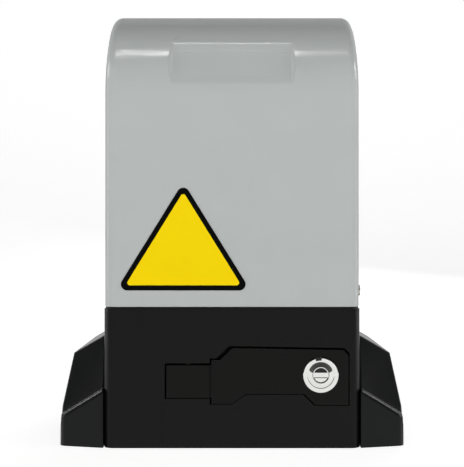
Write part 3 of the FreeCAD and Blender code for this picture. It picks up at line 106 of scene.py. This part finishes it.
def finish(name):
    # one material per finish: soft patches of tone and gloss and a fine bump, all on Object coordinates
    if name in made:
        return made[name]
    look = usual | finishes[name]
    material = bpy.data.materials.new(name)
    material.use_nodes = True
    nodes, links = material.node_tree.nodes, material.node_tree.links
    shader = nodes["Principled BSDF"]
    shader.inputs["Metallic"].default_value = look["metal"]
    shader.inputs["Specular IOR Level"].default_value = look["shine"]
    shader.inputs["Coat Weight"].default_value = look["coat"]
    shader.inputs["Coat Roughness"].default_value = look["coatRough"]
    place = nodes.new("ShaderNodeTexCoord")
    cloud = nodes.new("ShaderNodeTexNoise")
    cloud.inputs["Scale"].default_value = look["cloud"]
    cloud.inputs["Detail"].default_value = 3
    links.new(place.outputs["Object"], cloud.inputs["Vector"])

    # the tone goes from a little under the colour to a little over it, where most of the noise's values are
    tone = nodes.new("ShaderNodeValToRGB")
    base = linear(look["color"])
    stops = tone.color_ramp.elements
    for stop, position, share in zip(stops, (0.3, 0.7), (1 - look["uneven"], 1 + look["uneven"])):
        stop.position = position
        stop.color = (*np.minimum(base * share, 1), 1)
    links.new(cloud.outputs["Fac"], tone.inputs["Fac"])
    links.new(tone.outputs["Color"], shader.inputs["Base Color"])
    gloss = nodes.new("ShaderNodeMapRange")
    gloss.inputs["To Min"].default_value = look["rough"] - look["spread"]
    gloss.inputs["To Max"].default_value = look["rough"] + look["spread"]
    links.new(cloud.outputs["Fac"], gloss.inputs["Value"])
    links.new(gloss.outputs["Result"], shader.inputs["Roughness"])
    if look["grain"]:
        stretch = nodes.new("ShaderNodeMapping")
        stretch.inputs["Scale"].default_value = look["brush"]
        noise = nodes.new("ShaderNodeTexNoise")
        noise.inputs["Scale"].default_value = look["fine"]
        noise.inputs["Detail"].default_value = 2
        bump = nodes.new("ShaderNodeBump")
        bump.inputs["Distance"].default_value = look["grain"]
        bump.inputs["Strength"].default_value = 0.6
        links.new(place.outputs["Object"], stretch.inputs["Vector"])
        links.new(stretch.outputs["Vector"], noise.inputs["Vector"])
        links.new(noise.outputs["Fac"], bump.inputs["Height"])
        links.new(bump.outputs["Normal"], shader.inputs["Normal"])
    made[name] = material
    return material


def smoothByAngle(mesh, degrees):
    mesh.shade_smooth()
    mesh.set_sharp_from_angle(angle=math.radians(degrees))


# the wide round edge of the ledge across each end of a foot cover, in metres
ledge = dict(
    width=0.0034, segments=4,
    low=0.018, high=0.0485,  # the ledge's edges lie between these in z
    inset=0.0115,  # and within this of the foot's ends in y
    clear=0.001,  # and further out in x than the flat inner side
    turn=1.0,  # they are at least this sharp, in radians
    steep=0.8,  # and rise at most this much along their length
    rest=0.25,  # share of the width at the other sharp edges
    restTurn=0.6, shortest=0.005, bottom=0.0005,  # they are this sharp, this long and above this height
)


def softenLedges(work):
    # full bevel weight along the ledges' own edges, and a small weight at the other long sharp edges
    weight = work.edges.layers.float.new("bevel_weight_edge")
    outside = max(abs(v.co.y) for v in work.verts) - ledge["inset"]
    inner = min(abs(v.co.x) for v in work.verts) + ledge["clear"]
    for line in work.edges:
        if len(line.link_faces) != 2:
            continue
        turn = line.calc_face_angle_signed()
        first, second = (v.co for v in line.verts)
        onLedge = (turn > ledge["turn"]
                   and min(abs(first.y), abs(second.y)) > outside
                   and min(first.z, second.z) > ledge["low"]
                   and max(first.z, second.z) < ledge["high"]
                   and abs(first.z - second.z) < ledge["steep"] * line.calc_length()
                   and max(abs(first.x), abs(second.x)) > inner)
        long = line.calc_length() > ledge["shortest"] and max(first.z, second.z) > ledge["bottom"]
        if onLedge:
            line[weight] = 1.0
        elif turn > ledge["restTurn"] and long:
            line[weight] = ledge["rest"]


# the round edge of the recess in the cover's front shoulder, in metres
recess = dict(
    width=0.0011, segments=3,
    low=0.287, high=0.326, half=0.052,  # reach in z, and half of it in x
    turn=0.2,  # its edges are at least this sharp, in radians
    labelLow=0.29, labelHigh=0.32, labelHalf=0.0435,  # the label pocket inside it stays sharp
    rest=0.3, restTurn=1.0, rimTop=0.113,  # share of the width at the rim, and how sharp and low that is
    cutInside=0.004, cutOutside=0.056, cutStep=0.008, cutCount=5,  # cuts to each side of the middle
)


def softenRecess(work):
    # cuts keep the cover's long curved faces even, then its recess gets full weight and its rim a little
    steps = recess["cutStep"] * np.arange(recess["cutCount"])
    cuts = np.concatenate([recess["cutInside"] + steps, recess["cutOutside"] + steps])
    for cut in np.concatenate([cuts, -cuts]):
        parts = list(work.verts) + list(work.edges) + list(work.faces)
        bmesh.ops.bisect_plane(work, geom=parts, dist=1e-7, plane_co=(cut, 0, 0), plane_no=(1, 0, 0))
    weight = work.edges.layers.float.new("bevel_weight_edge")
    for line in work.edges:
        if len(line.link_faces) != 2:
            continue
        turn = line.calc_face_angle_signed()
        first, second = (v.co for v in line.verts)
        farX = max(abs(first.x), abs(second.x))
        lowZ, highZ = min(first.z, second.z), max(first.z, second.z)
        onLabel = farX < recess["labelHalf"] and recess["labelLow"] < lowZ and highZ < recess["labelHigh"]
        onRecess = (turn > recess["turn"]
                    and farX < recess["half"]
                    and recess["low"] < lowZ < recess["high"]
                    and first.y < 0)
        if onRecess:
            line[weight] = 0.0 if onLabel else 1.0
        elif turn > recess["restTurn"] and highZ < recess["rimTop"]:
            line[weight] = recess["rest"]


# nodes whose edges are rounded by weight, each with its own marking and values
softened = {
    "cover_shell": (softenRecess, recess),
    "right_foot_cover": (softenLedges, ledge),
    "left_foot_cover": (softenLedges, ledge),
}
skin = dict(
    double=2e-6,  # metres between points that are merged
    flat=0.6, smooth=35,  # degrees up to which neighbouring faces are one, and are shaded smooth
    edge=40,  # degrees from which an edge is rounded
    segments=2,
)


def dress(node, finishName, edge):
    # a copy of a CAD node with its doubles merged, its flat faces rejoined and its sharp edges rounded
    mesh = frame["nodes"][node].data.copy()
    work = bmesh.new()
    work.from_mesh(mesh)
    bmesh.ops.remove_doubles(work, verts=work.verts, dist=skin["double"])
    bmesh.ops.dissolve_limit(work, angle_limit=math.radians(skin["flat"]), verts=work.verts, edges=work.edges)
    markEdges, values = softened.get(node, (None, None))
    if markEdges:
        markEdges(work)
    work.to_mesh(mesh)
    work.free()
    mesh.materials.clear()
    mesh.materials.append(finish(finishName))
    smoothByAngle(mesh, skin["smooth"])
    piece = bpy.data.objects.new(node + "Skin", mesh)
    bpy.context.scene.collection.objects.link(piece)
    if edge or markEdges:
        bevel = piece.modifiers.new("edge", "BEVEL")
        if markEdges:
            bevel.limit_method = "WEIGHT"
            bevel.width, bevel.segments = values["width"], values["segments"]
            bevel.use_clamp_overlap = False
        else:
            bevel.limit_method = "ANGLE"
            bevel.angle_limit = math.radians(skin["edge"])
            bevel.width, bevel.segments = edge, skin["segments"]
        # large flat faces keep their own normals, and the round edges blend into them
        normals = piece.modifiers.new("normals", "WEIGHTED_NORMAL")
        normals.keep_sharp = True
    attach(piece, bodyOf[node])
    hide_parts(node)


# finish, record slot and edge rounding in metres of each node; the softened ones have their own rounding
plainNodes = {
    "cover_shell": ("coverGrey", "cover_plastic", 0),
    "cover_screws": ("zinc", "zinc_steel", 0.0003),
    "warning_plate": ("signBlack", "warning_sheet", 0),
    "base_casting": ("caseBlack", "black_casting", 0.0006),
    "right_foot_cover": ("footBlack", "black_plastic", 0),
    "left_foot_cover": ("footBlack", "black_plastic", 0),
    "cover_seal": ("rubber", "rubber_black", 0),
    "release_lever": ("leverBlack", "black_arm", 0.0008),
    "lever_pivot_pin": ("zinc", "zinc_steel", 0),
    "lock_nut": ("zinc", "zinc_steel", 0.0002),
    "lock_plug": ("chrome", "chromed", 0.0002),
    "lock_strike": ("zinc", "zinc_steel", 0),
    "release_rod": ("machinedSteel", "bright_steel", 0),
    "output_shaft": ("machinedSteel", "bright_steel", 0.0004),
    "pinion_key": ("machinedSteel", "bright_steel", 0),
    "clutch_dog": ("machinedSteel", "bright_steel", 0.0004),
    "clutch_pin": ("machinedSteel", "bright_steel", 0),
    "clutch_spring": ("machinedSteel", "bright_steel", 0),
    "output_pinion": ("machinedSteel", "bright_steel", 0.0003),
    "pinion_washer": ("zinc", "zinc_steel", 0.0003),
    "pinion_bolt": ("zinc", "zinc_steel", 0.0004),
    "worm_wheel": ("bronze", "bronze", 0),
    "rear_flange": ("caseBlack", "black_casting", 0.0006),
    "flange_bolts": ("zinc", "zinc_steel", 0.0003),
    "bearings": ("machinedSteel", "bright_steel", 0),
    "shaft_seal_and_grommet": ("rubber", "rubber_black", 0),
    "motor_lower_shield": ("castAluminium", "motor_aluminium", 0.0006),
    "stator_core": ("statorSteel", "stator_steel", 0),
    "motor_upper_shield": ("castAluminium", "motor_aluminium", 0.0006),
    "stator_windings": ("copper", "copper_wire", 0.001),
    "motor_bolts": ("zinc", "zinc_steel", 0),
    "rotor_shaft": ("machinedSteel", "bright_steel", 0),
    "rotor_core": ("machinedSteel", "bright_steel", 0),
    "cooling_fan": ("partBlack", "black_plastic", 0),
    "control_bracket": ("zinc", "zinc_steel", 0),
    "board_standoffs": ("zinc", "zinc_steel", 0),
    "control_board": ("boardGreen", "board_green", 0),
    "terminal_blocks": ("terminalGreen", "terminal_plastic", 0.0004),
    "relays": ("relayBlue", "terminal_plastic", 0.0004),
    "transformer": ("partBlack", "terminal_plastic", 0.0006),
    "board_chips": ("partBlack", "terminal_plastic", 0.0002),
    "fuse_holder": ("partBlack", "black_plastic", 0.0003),
    "run_capacitor": ("partBlack", "black_plastic", 0.0008),
    "capacitor_clamp": ("zinc", "zinc_steel", 0),
    "limit_switch_housing": ("partBlack", "black_plastic", 0.0005),
    "whisker_pivot_pin": ("zinc", "zinc_steel", 0),
    "limit_microswitches": ("partBlack", "terminal_plastic", 0.0003),
    "limit_whisker": ("zinc", "zinc_steel", 0),
}
for nodeName, (lookName, slotName, edgeWidth) in plainNodes.items():
    dress(nodeName, lookName, edgeWidth)
print("nodes dressed:", len(plainNodes))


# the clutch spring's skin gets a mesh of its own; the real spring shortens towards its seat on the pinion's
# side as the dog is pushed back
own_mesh(bpy.data.objects["clutch_springSkin"])


def addMesh(name, points, faces, finishName, body, smooth=35):
    # a closed piece of its own, with its doubles merged and every face turned outwards; smooth is in degrees
    mesh = bpy.data.meshes.new(name)
    mesh.from_pydata(np.asarray(points, float).tolist(), [], faces)
    work = bmesh.new()
    work.from_mesh(mesh)
    bmesh.ops.remove_doubles(work, verts=work.verts, dist=1e-7)
    bmesh.ops.recalc_face_normals(work, faces=work.faces)
    work.to_mesh(mesh)
    work.free()
    mesh.materials.append(finish(finishName))
    smoothByAngle(mesh, smooth)
    piece = bpy.data.objects.new(name, mesh)
    bpy.context.scene.collection.objects.link(piece)
    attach(piece, body)
    return piece


def prism(x, z, front, back):
    # a counterclockwise outline in x and z, carried straight from y = front to y = back
    count = len(x)
    points = np.concatenate([np.stack([x, np.full(count, y), z], axis=1) for y in (front, back)])
    ring = np.arange(count)
    following = (ring + 1) % count
    sides = np.stack([ring, ring + count, following + count, following], axis=1)
    return points, [ring.tolist(), (ring[::-1] + count).tolist()] + sides.tolist()


# the yellow field of the warning plate, in metres
signField = dict(
    plateRadius=0.005,  # corners of the plate itself
    border=0.0041,  # black that is left around the field
    cornerRadius=0.0021, arcSteps=10,
    lift=0.00006,  # in front of the plate
)


def roundedTriangle(left, right, low, high):
    # outline of a triangle whose corners are arcs: each arc's centre is set in by the radius from both sides
    radius, steps = signField["cornerRadius"], signField["arcSteps"]
    corners = np.array([[left, low], [right, low], [(left + right) / 2, high]])
    before = np.roll(corners, 1, axis=0) - corners
    after = np.roll(corners, -1, axis=0) - corners
    before /= np.linalg.norm(before, axis=1, keepdims=True)
    after /= np.linalg.norm(after, axis=1, keepdims=True)
    bisector = before + after
    bisector /= np.linalg.norm(bisector, axis=1, keepdims=True)
    halfAngle = np.arccos((before * after).sum(axis=1)) / 2
    centres = corners + bisector * (radius / np.sin(halfAngle))[:, None]
    outward = np.arctan2(-bisector[:, 1], -bisector[:, 0])
    spread = (math.pi / 2 - halfAngle)[:, None] * np.linspace(-1, 1, steps + 1)
    angles = outward[:, None] + spread
    x = centres[:, :1] + radius * np.cos(angles)
    z = centres[:, 1:] + radius * np.sin(angles)
    return x.ravel(), z.ravel()


def makeSignField():
    low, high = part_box("warning_plate")
    # the plate's sharp triangle from the box around its round corners: the slope of its sides depends on the
    # triangle and the triangle on the slope, so they are worked out in turns until they agree
    radius, rounds = signField["plateRadius"], 8
    slope = math.atan2(high.z - low.z, (high.x - low.x) / 2)
    sharpTop = high.z + radius * (1 / math.cos(slope) - 1)
    halfWidth = (sharpTop - low.z) / math.tan(slope)
    for _ in range(rounds):
        slope = math.atan2(sharpTop - low.z, halfWidth)
        halfWidth = (high.x - low.x) / 2 - radius + radius / math.tan(slope / 2)
        sharpTop = high.z + radius * (1 / math.cos(slope) - 1)

    middle, border = (low.x + high.x) / 2, signField["border"]
    fieldLow, fieldTop = low.z + border, sharpTop - border / math.cos(slope)
    fieldHalf = (fieldTop - fieldLow) / math.tan(slope)
    x, z = roundedTriangle(middle - fieldHalf, middle + fieldHalf, fieldLow, fieldTop)
    points, faces = prism(x, z, low.y - signField["lift"], low.y + signField["lift"])
    addMesh("signField", points, faces, "warningYellow", "cover")


makeSignField()
print("warning plate done")


# the chromed barrel in metres: radii from its axis, drops behind its front, round edges as (inset, drop)
barrel = dict(
    rim=0.0141, rimDrop=0.0002, rimInner=0.0104, flange=0.00235,
    outerEdge=((0, 0.0007), (0.0002, 0.0003), (0.0006, 0.00006), (0.0013, 0)),
    innerEdge=((-0.0003, 0.00005), (0, 0.0003)),
    groove=0.0011, grooveIn=0.0001, grooveOut=0.0005,  # drop and insets of the groove inside the rim
    cone=0.0066,  # the face rises from the groove to this radius
    coneEdge=((-0.0003, 0.00003), (-0.0001, 0), (0, 0.0002), (0, 0.0016)),
    bore=0.00603, boreDrop=0.0019, shank=0.009,
)
# the plug in its bore: a ring, a bar across, a lower step, and a dark back that shows between them; the back
# is painted shade, its near-black colour standing in for the shade in the key slot and above the bar
plug = dict(
    radius=0.0063, ringInner=0.0056, ringFront=0.0003, ringEdge=0.0002, ringFall=0.0001,
    overlap=0.00005,  # of the bands into the ring
    barLow=-0.0018, barHigh=0.0018, barFront=0.0005,
    lowerTop=-0.0024, lowerFront=0.0007,
    backFront=0.0014, back=0.0021,
)
# painted shade of a small notch in the rim: a dark band lying on the rim, around an angle in degrees from the
# lock's right
mark = dict(inner=0.0114, outer=0.0138, middle=98, half=11, points=13, lift=0.00003, depth=0.0003)
turned = dict(steps=96, bandSteps=24, smooth=25)  # steps of a full turn and of a disc's arc, and degrees


def revolve(profile, centre):
    # closed profile of (radius, y) turned about y through centre: x is radius times cos, z radius times sin
    radius, along = np.array(profile, float).T
    steps = turned["steps"]
    turn = np.arange(steps) * 2 * math.pi / steps
    x = centre[0] + np.outer(np.cos(turn), radius)
    z = centre[1] + np.outer(np.sin(turn), radius)
    points = np.stack([x, np.broadcast_to(along, x.shape), z], axis=-1).reshape(-1, 3)
    count = len(radius)
    ring = np.arange(steps)[:, None]
    step = np.arange(count)[None, :]
    nextRing, nextStep = (ring + 1) % steps, (step + 1) % count
    faces = np.stack([ring * count + step, ring * count + nextStep, nextRing * count + nextStep,
                      nextRing * count + step], axis=-1).reshape(-1, 4)
    return points, faces.tolist()


def discBand(centre, radius, low, high):
    # outline of the part of a disc between two heights: its right arc upwards, then its left arc downwards
    start, end = math.asin(max(low / radius, -1)), math.asin(min(high / radius, 1))
    right = np.linspace(start, end, turned["bandSteps"])
    turn = np.concatenate([right, math.pi - right[::-1]])
    return centre[0] + radius * np.cos(turn), centre[1] + radius * np.sin(turn)


def makeBarrel(centre, front, end):
    rimFront = front + barrel["rimDrop"]
    profile = [(barrel["rim"], front + barrel["flange"])]
    profile += [(barrel["rim"] - inset, rimFront + drop) for inset, drop in barrel["outerEdge"]]
    profile += [(barrel["rimInner"] - inset, rimFront + drop) for inset, drop in barrel["innerEdge"]]
    profile += [(barrel["rimInner"] - inset, front + barrel["groove"])
                for inset in (barrel["grooveIn"], barrel["grooveOut"])]
    profile += [(barrel["cone"] - inset, front + drop) for inset, drop in barrel["coneEdge"]]
    profile += [(barrel["bore"], front + barrel["boreDrop"]), (barrel["bore"], end),
                (barrel["shank"], end), (barrel["shank"], front + barrel["flange"])]
    points, faces = revolve(profile, centre)
    piece = addMesh("lockBarrel", points, faces, "chrome", "lever", turned["smooth"])
    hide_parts("lock_barrel")


def makePlug(centre, front):
    radius, inner, back = plug["radius"], plug["ringInner"], front + plug["back"]
    ringFront = front + plug["ringFront"]
    profile = [(radius, back), (radius, ringFront + plug["ringEdge"]), (radius - plug["ringEdge"], ringFront),
               (inner, ringFront + plug["ringFall"]), (inner, back)]
    points, faces = revolve(profile, centre)
    addMesh("plugRing", points, faces, "chrome", "lock_core", turned["smooth"])
    bands = {
        "plugBar": (plug["barLow"], plug["barHigh"], plug["barFront"], "chrome"),
        "plugLower": (-inner, plug["lowerTop"], plug["lowerFront"], "chrome"),
        # painted shade: the near-black back shows as the dark key slot and the dark part above the bar
        "plugBackShade": (-inner, inner, plug["backFront"], "paintedShadeDark"),
    }
    for name, (low, high, drop, look) in bands.items():
        x, z = discBand(centre, inner + plug["overlap"], low, high)
        points, faces = prism(x, z, front + drop, back)
        addMesh(name, points, faces, look, "lock_core")


def makeNotchShade(centre, rimFront):
    # a band between two arcs: the outer one turned forwards, then the inner one backwards
    middle, half = mark["middle"], mark["half"]
    turn = np.radians(np.linspace(middle - half, middle + half, mark["points"]))
    x = centre[0] + np.concatenate([mark["outer"] * np.cos(turn), mark["inner"] * np.cos(turn[::-1])])
    z = centre[1] + np.concatenate([mark["outer"] * np.sin(turn), mark["inner"] * np.sin(turn[::-1])])
    points, faces = prism(x, z, rimFront - mark["lift"], rimFront + mark["depth"])
    # painted shade: this flat dark band stands in for the shade of a small recessed notch in the rim
    addMesh("rimNotchShade", points, faces, "paintedShadeDark", "lever")


lockLow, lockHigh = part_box("lock_barrel")
lockCentre = ((lockLow.x + lockHigh.x) / 2, (lockLow.z + lockHigh.z) / 2)
makeBarrel(lockCentre, lockLow.y, lockHigh.y)
makePlug(lockCentre, lockLow.y)
makeNotchShade(lockCentre, lockLow.y + barrel["rimDrop"])
print("lock done")


# a white floor that rises into a backdrop, in metres
floor = dict(
    width=9.0, near=-4.0, far=3.0, height=4.0,
    bend=0.8, bendSteps=16,  # quarter circle between floor and wall
    drop=0.0002,  # clear of the base
    grey=0.5, rough=0.9,
    glow=0.82,  # its own light, where it is seen
)


def stageWhite():
    # seen directly, or in a polished surface, the floor glows to white; elsewhere it is a plain pale grey
    material = bpy.data.materials.new("stageWhite")
    material.use_nodes = True
    nodes, links = material.node_tree.nodes, material.node_tree.links
    shader = nodes["Principled BSDF"]
    shader.inputs["Base Color"].default_value = (floor["grey"], floor["grey"], floor["grey"], 1)
    shader.inputs["Roughness"].default_value = floor["rough"]
    shader.inputs["Specular IOR Level"].default_value = 0
    shader.inputs["Emission Color"].default_value = (1, 1, 1, 1)
    path = nodes.new("ShaderNodeLightPath")
    glow = nodes.new("ShaderNodeMath")
    glow.operation = "MULTIPLY"
    glow.inputs[1].default_value = floor["glow"]
    mirrored = nodes.new("ShaderNodeMath")
    mirrored.operation = "MAXIMUM"
    links.new(path.outputs["Is Glossy Ray"], mirrored.inputs[0])
    links.new(path.outputs["Is Transmission Ray"], mirrored.inputs[1])
    seen = nodes.new("ShaderNodeMath")
    seen.operation = "MAXIMUM"
    links.new(path.outputs["Is Camera Ray"], seen.inputs[0])
    links.new(mirrored.outputs["Value"], seen.inputs[1])
    links.new(seen.outputs["Value"], glow.inputs[0])
    links.new(glow.outputs["Value"], shader.inputs["Emission Strength"])
    return material


def makeFloor():
    # a profile of flat floor, quarter circle and upright wall, carried along x
    turn = np.linspace(0, math.pi / 2, floor["bendSteps"] + 1)
    bend = floor["bend"]
    profileY = np.concatenate([[floor["near"]], floor["far"] - bend + bend * np.sin(turn), [floor["far"]]])
    profileZ = np.concatenate([[0.0], bend - bend * np.cos(turn), [floor["height"]]])
    count = len(profileY)
    points = np.zeros((2 * count, 3))
    points[:count, 0], points[count:, 0] = -floor["width"] / 2, floor["width"] / 2
    points[:, 1] = np.tile(profileY, 2)
    points[:, 2] = np.tile(profileZ, 2) - floor["drop"]
    first = np.arange(count - 1)
    faces = np.stack([first, first + 1, first + count + 1, first + count], axis=1)[:, ::-1]
    mesh = bpy.data.meshes.new("backdrop")
    mesh.from_pydata(points.tolist(), [], faces.tolist())
    mesh.materials.append(stageWhite())
    mesh.shade_smooth()
    backdrop = bpy.data.objects.new("backdrop", mesh)
    bpy.context.scene.collection.objects.link(backdrop)


# place, size and watts; mirrored lamps only show in glossy surfaces, and the others aren't seen in them
lamps = {
    "frontSoft": dict(at=(0.0, -2.6, 0.22), size=(2.6, 1.0), power=56),
    "stripLeft": dict(at=(-0.215, -0.33, 1.7), size=(0.17, 0.14), power=2.3, mirrored=True, down=True),
    "stripMiddle": dict(at=(0.0, -0.32, 1.7), size=(0.28, 0.14), power=4, mirrored=True, down=True),
    "stripRight": dict(at=(0.215, -0.32, 1.7), size=(0.17, 0.14), power=0.6, mirrored=True, down=True),
    "leftSoft": dict(at=(-1.5, -0.6, 0.45), size=(0.5, 0.9), power=7.5),
    "rightSoft": dict(at=(1.5, -0.6, 0.45), size=(0.5, 0.9), power=7.5),
    "backSoft": dict(at=(0.6, 2.2, 0.9), size=(1.6, 1.0), power=26),
    "leftEdge": dict(at=(-1.5, 0.05, 0.3), size=(0.2, 0.7), power=6, mirrored=True),
    "rightEdge": dict(at=(1.5, 0.05, 0.3), size=(0.2, 0.7), power=6, mirrored=True),
    "leftCard": dict(at=(-1.3, 0.14, 0.95), size=(0.4, 0.4), power=9, mirrored=True),
    "rightCard": dict(at=(1.3, 0.14, 0.95), size=(0.4, 0.4), power=9, mirrored=True),
}
target = (0, 0, 0.18)  # what a lamp points at, unless it shines straight down


def makeLamps():
    for name, lamp in lamps.items():
        data = bpy.data.lights.new(name, "AREA")
        data.shape = "RECTANGLE"
        data.size, data.size_y = lamp["size"]
        data.energy = lamp["power"]
        holder = bpy.data.objects.new(name, data)
        holder.location = lamp["at"]
        holder.visible_glossy = lamp.get("mirrored", False)
        holder.visible_diffuse = not holder.visible_glossy
        if not lamp.get("down"):
            aim = Vector(target) - Vector(lamp["at"])
            holder.rotation_euler = aim.to_track_quat("-Z", "Y").to_euler()
        bpy.context.scene.collection.objects.link(holder)


room = dict(
    horizon=0.32, zenith=0.0,  # light from the sides and from overhead
    lowZ=0.05, highZ=0.75,  # it falls between these heights of the direction
    mirrored=0.3,  # share of it in glossy surfaces
    seen=0.97,  # to the camera
)


def makeRoom():
    world = bpy.data.worlds.new("room")
    world.use_nodes = True
    nodes, links = world.node_tree.nodes, world.node_tree.links
    background = nodes["Background"]
    background.inputs["Color"].default_value = (1, 1, 1, 1)
    # the room is darker overhead, so that upward faces fall off
    direction = nodes.new("ShaderNodeTexCoord")
    split = nodes.new("ShaderNodeSeparateXYZ")
    fall = nodes.new("ShaderNodeMapRange")
    fall.inputs["From Min"].default_value = room["lowZ"]
    fall.inputs["From Max"].default_value = room["highZ"]
    fall.inputs["To Min"].default_value = room["horizon"]
    fall.inputs["To Max"].default_value = room["zenith"]
    links.new(direction.outputs["Generated"], split.inputs["Vector"])
    links.new(split.outputs["Z"], fall.inputs["Value"])
    # polished surfaces see a darker room, so that they show contrast
    path = nodes.new("ShaderNodeLightPath")
    dim = nodes.new("ShaderNodeMapRange")
    dim.inputs["To Min"].default_value = 1
    dim.inputs["To Max"].default_value = room["mirrored"]
    links.new(path.outputs["Is Glossy Ray"], dim.inputs["Value"])
    strength = nodes.new("ShaderNodeMath")
    strength.operation = "MULTIPLY"
    links.new(fall.outputs["Result"], strength.inputs[0])
    links.new(dim.outputs["Result"], strength.inputs[1])
    # seen directly, the room beyond the floor is plain white
    shown = nodes.new("ShaderNodeMix")
    shown.data_type = "FLOAT"
    shown.inputs["B"].default_value = room["seen"]
    links.new(path.outputs["Is Camera Ray"], shown.inputs["Factor"])
    links.new(strength.outputs["Value"], shown.inputs["A"])
    links.new(shown.outputs["Result"], background.inputs["Strength"])
    bpy.context.scene.world = world


# lens and sensor in millimetres, place and reach in metres
view = dict(lens=80.9, sensor=36, at=(0, -0.924, 0.1695), reach=20)


def makeCamera():
    data = bpy.data.cameras.new("camera")
    data.lens = view["lens"]
    data.sensor_width = view["sensor"]
    data.clip_end = view["reach"]
    camera = bpy.data.objects.new("camera", data)
    camera.location = view["at"]
    camera.rotation_euler = (math.pi / 2, 0, 0)  # level, along y
    bpy.context.scene.collection.objects.link(camera)
    bpy.context.scene.camera = camera


makeFloor()
makeLamps()
makeRoom()
makeCamera()
bpy.context.scene.view_settings.view_transform = "Standard"
print("stage, lamps and camera set")
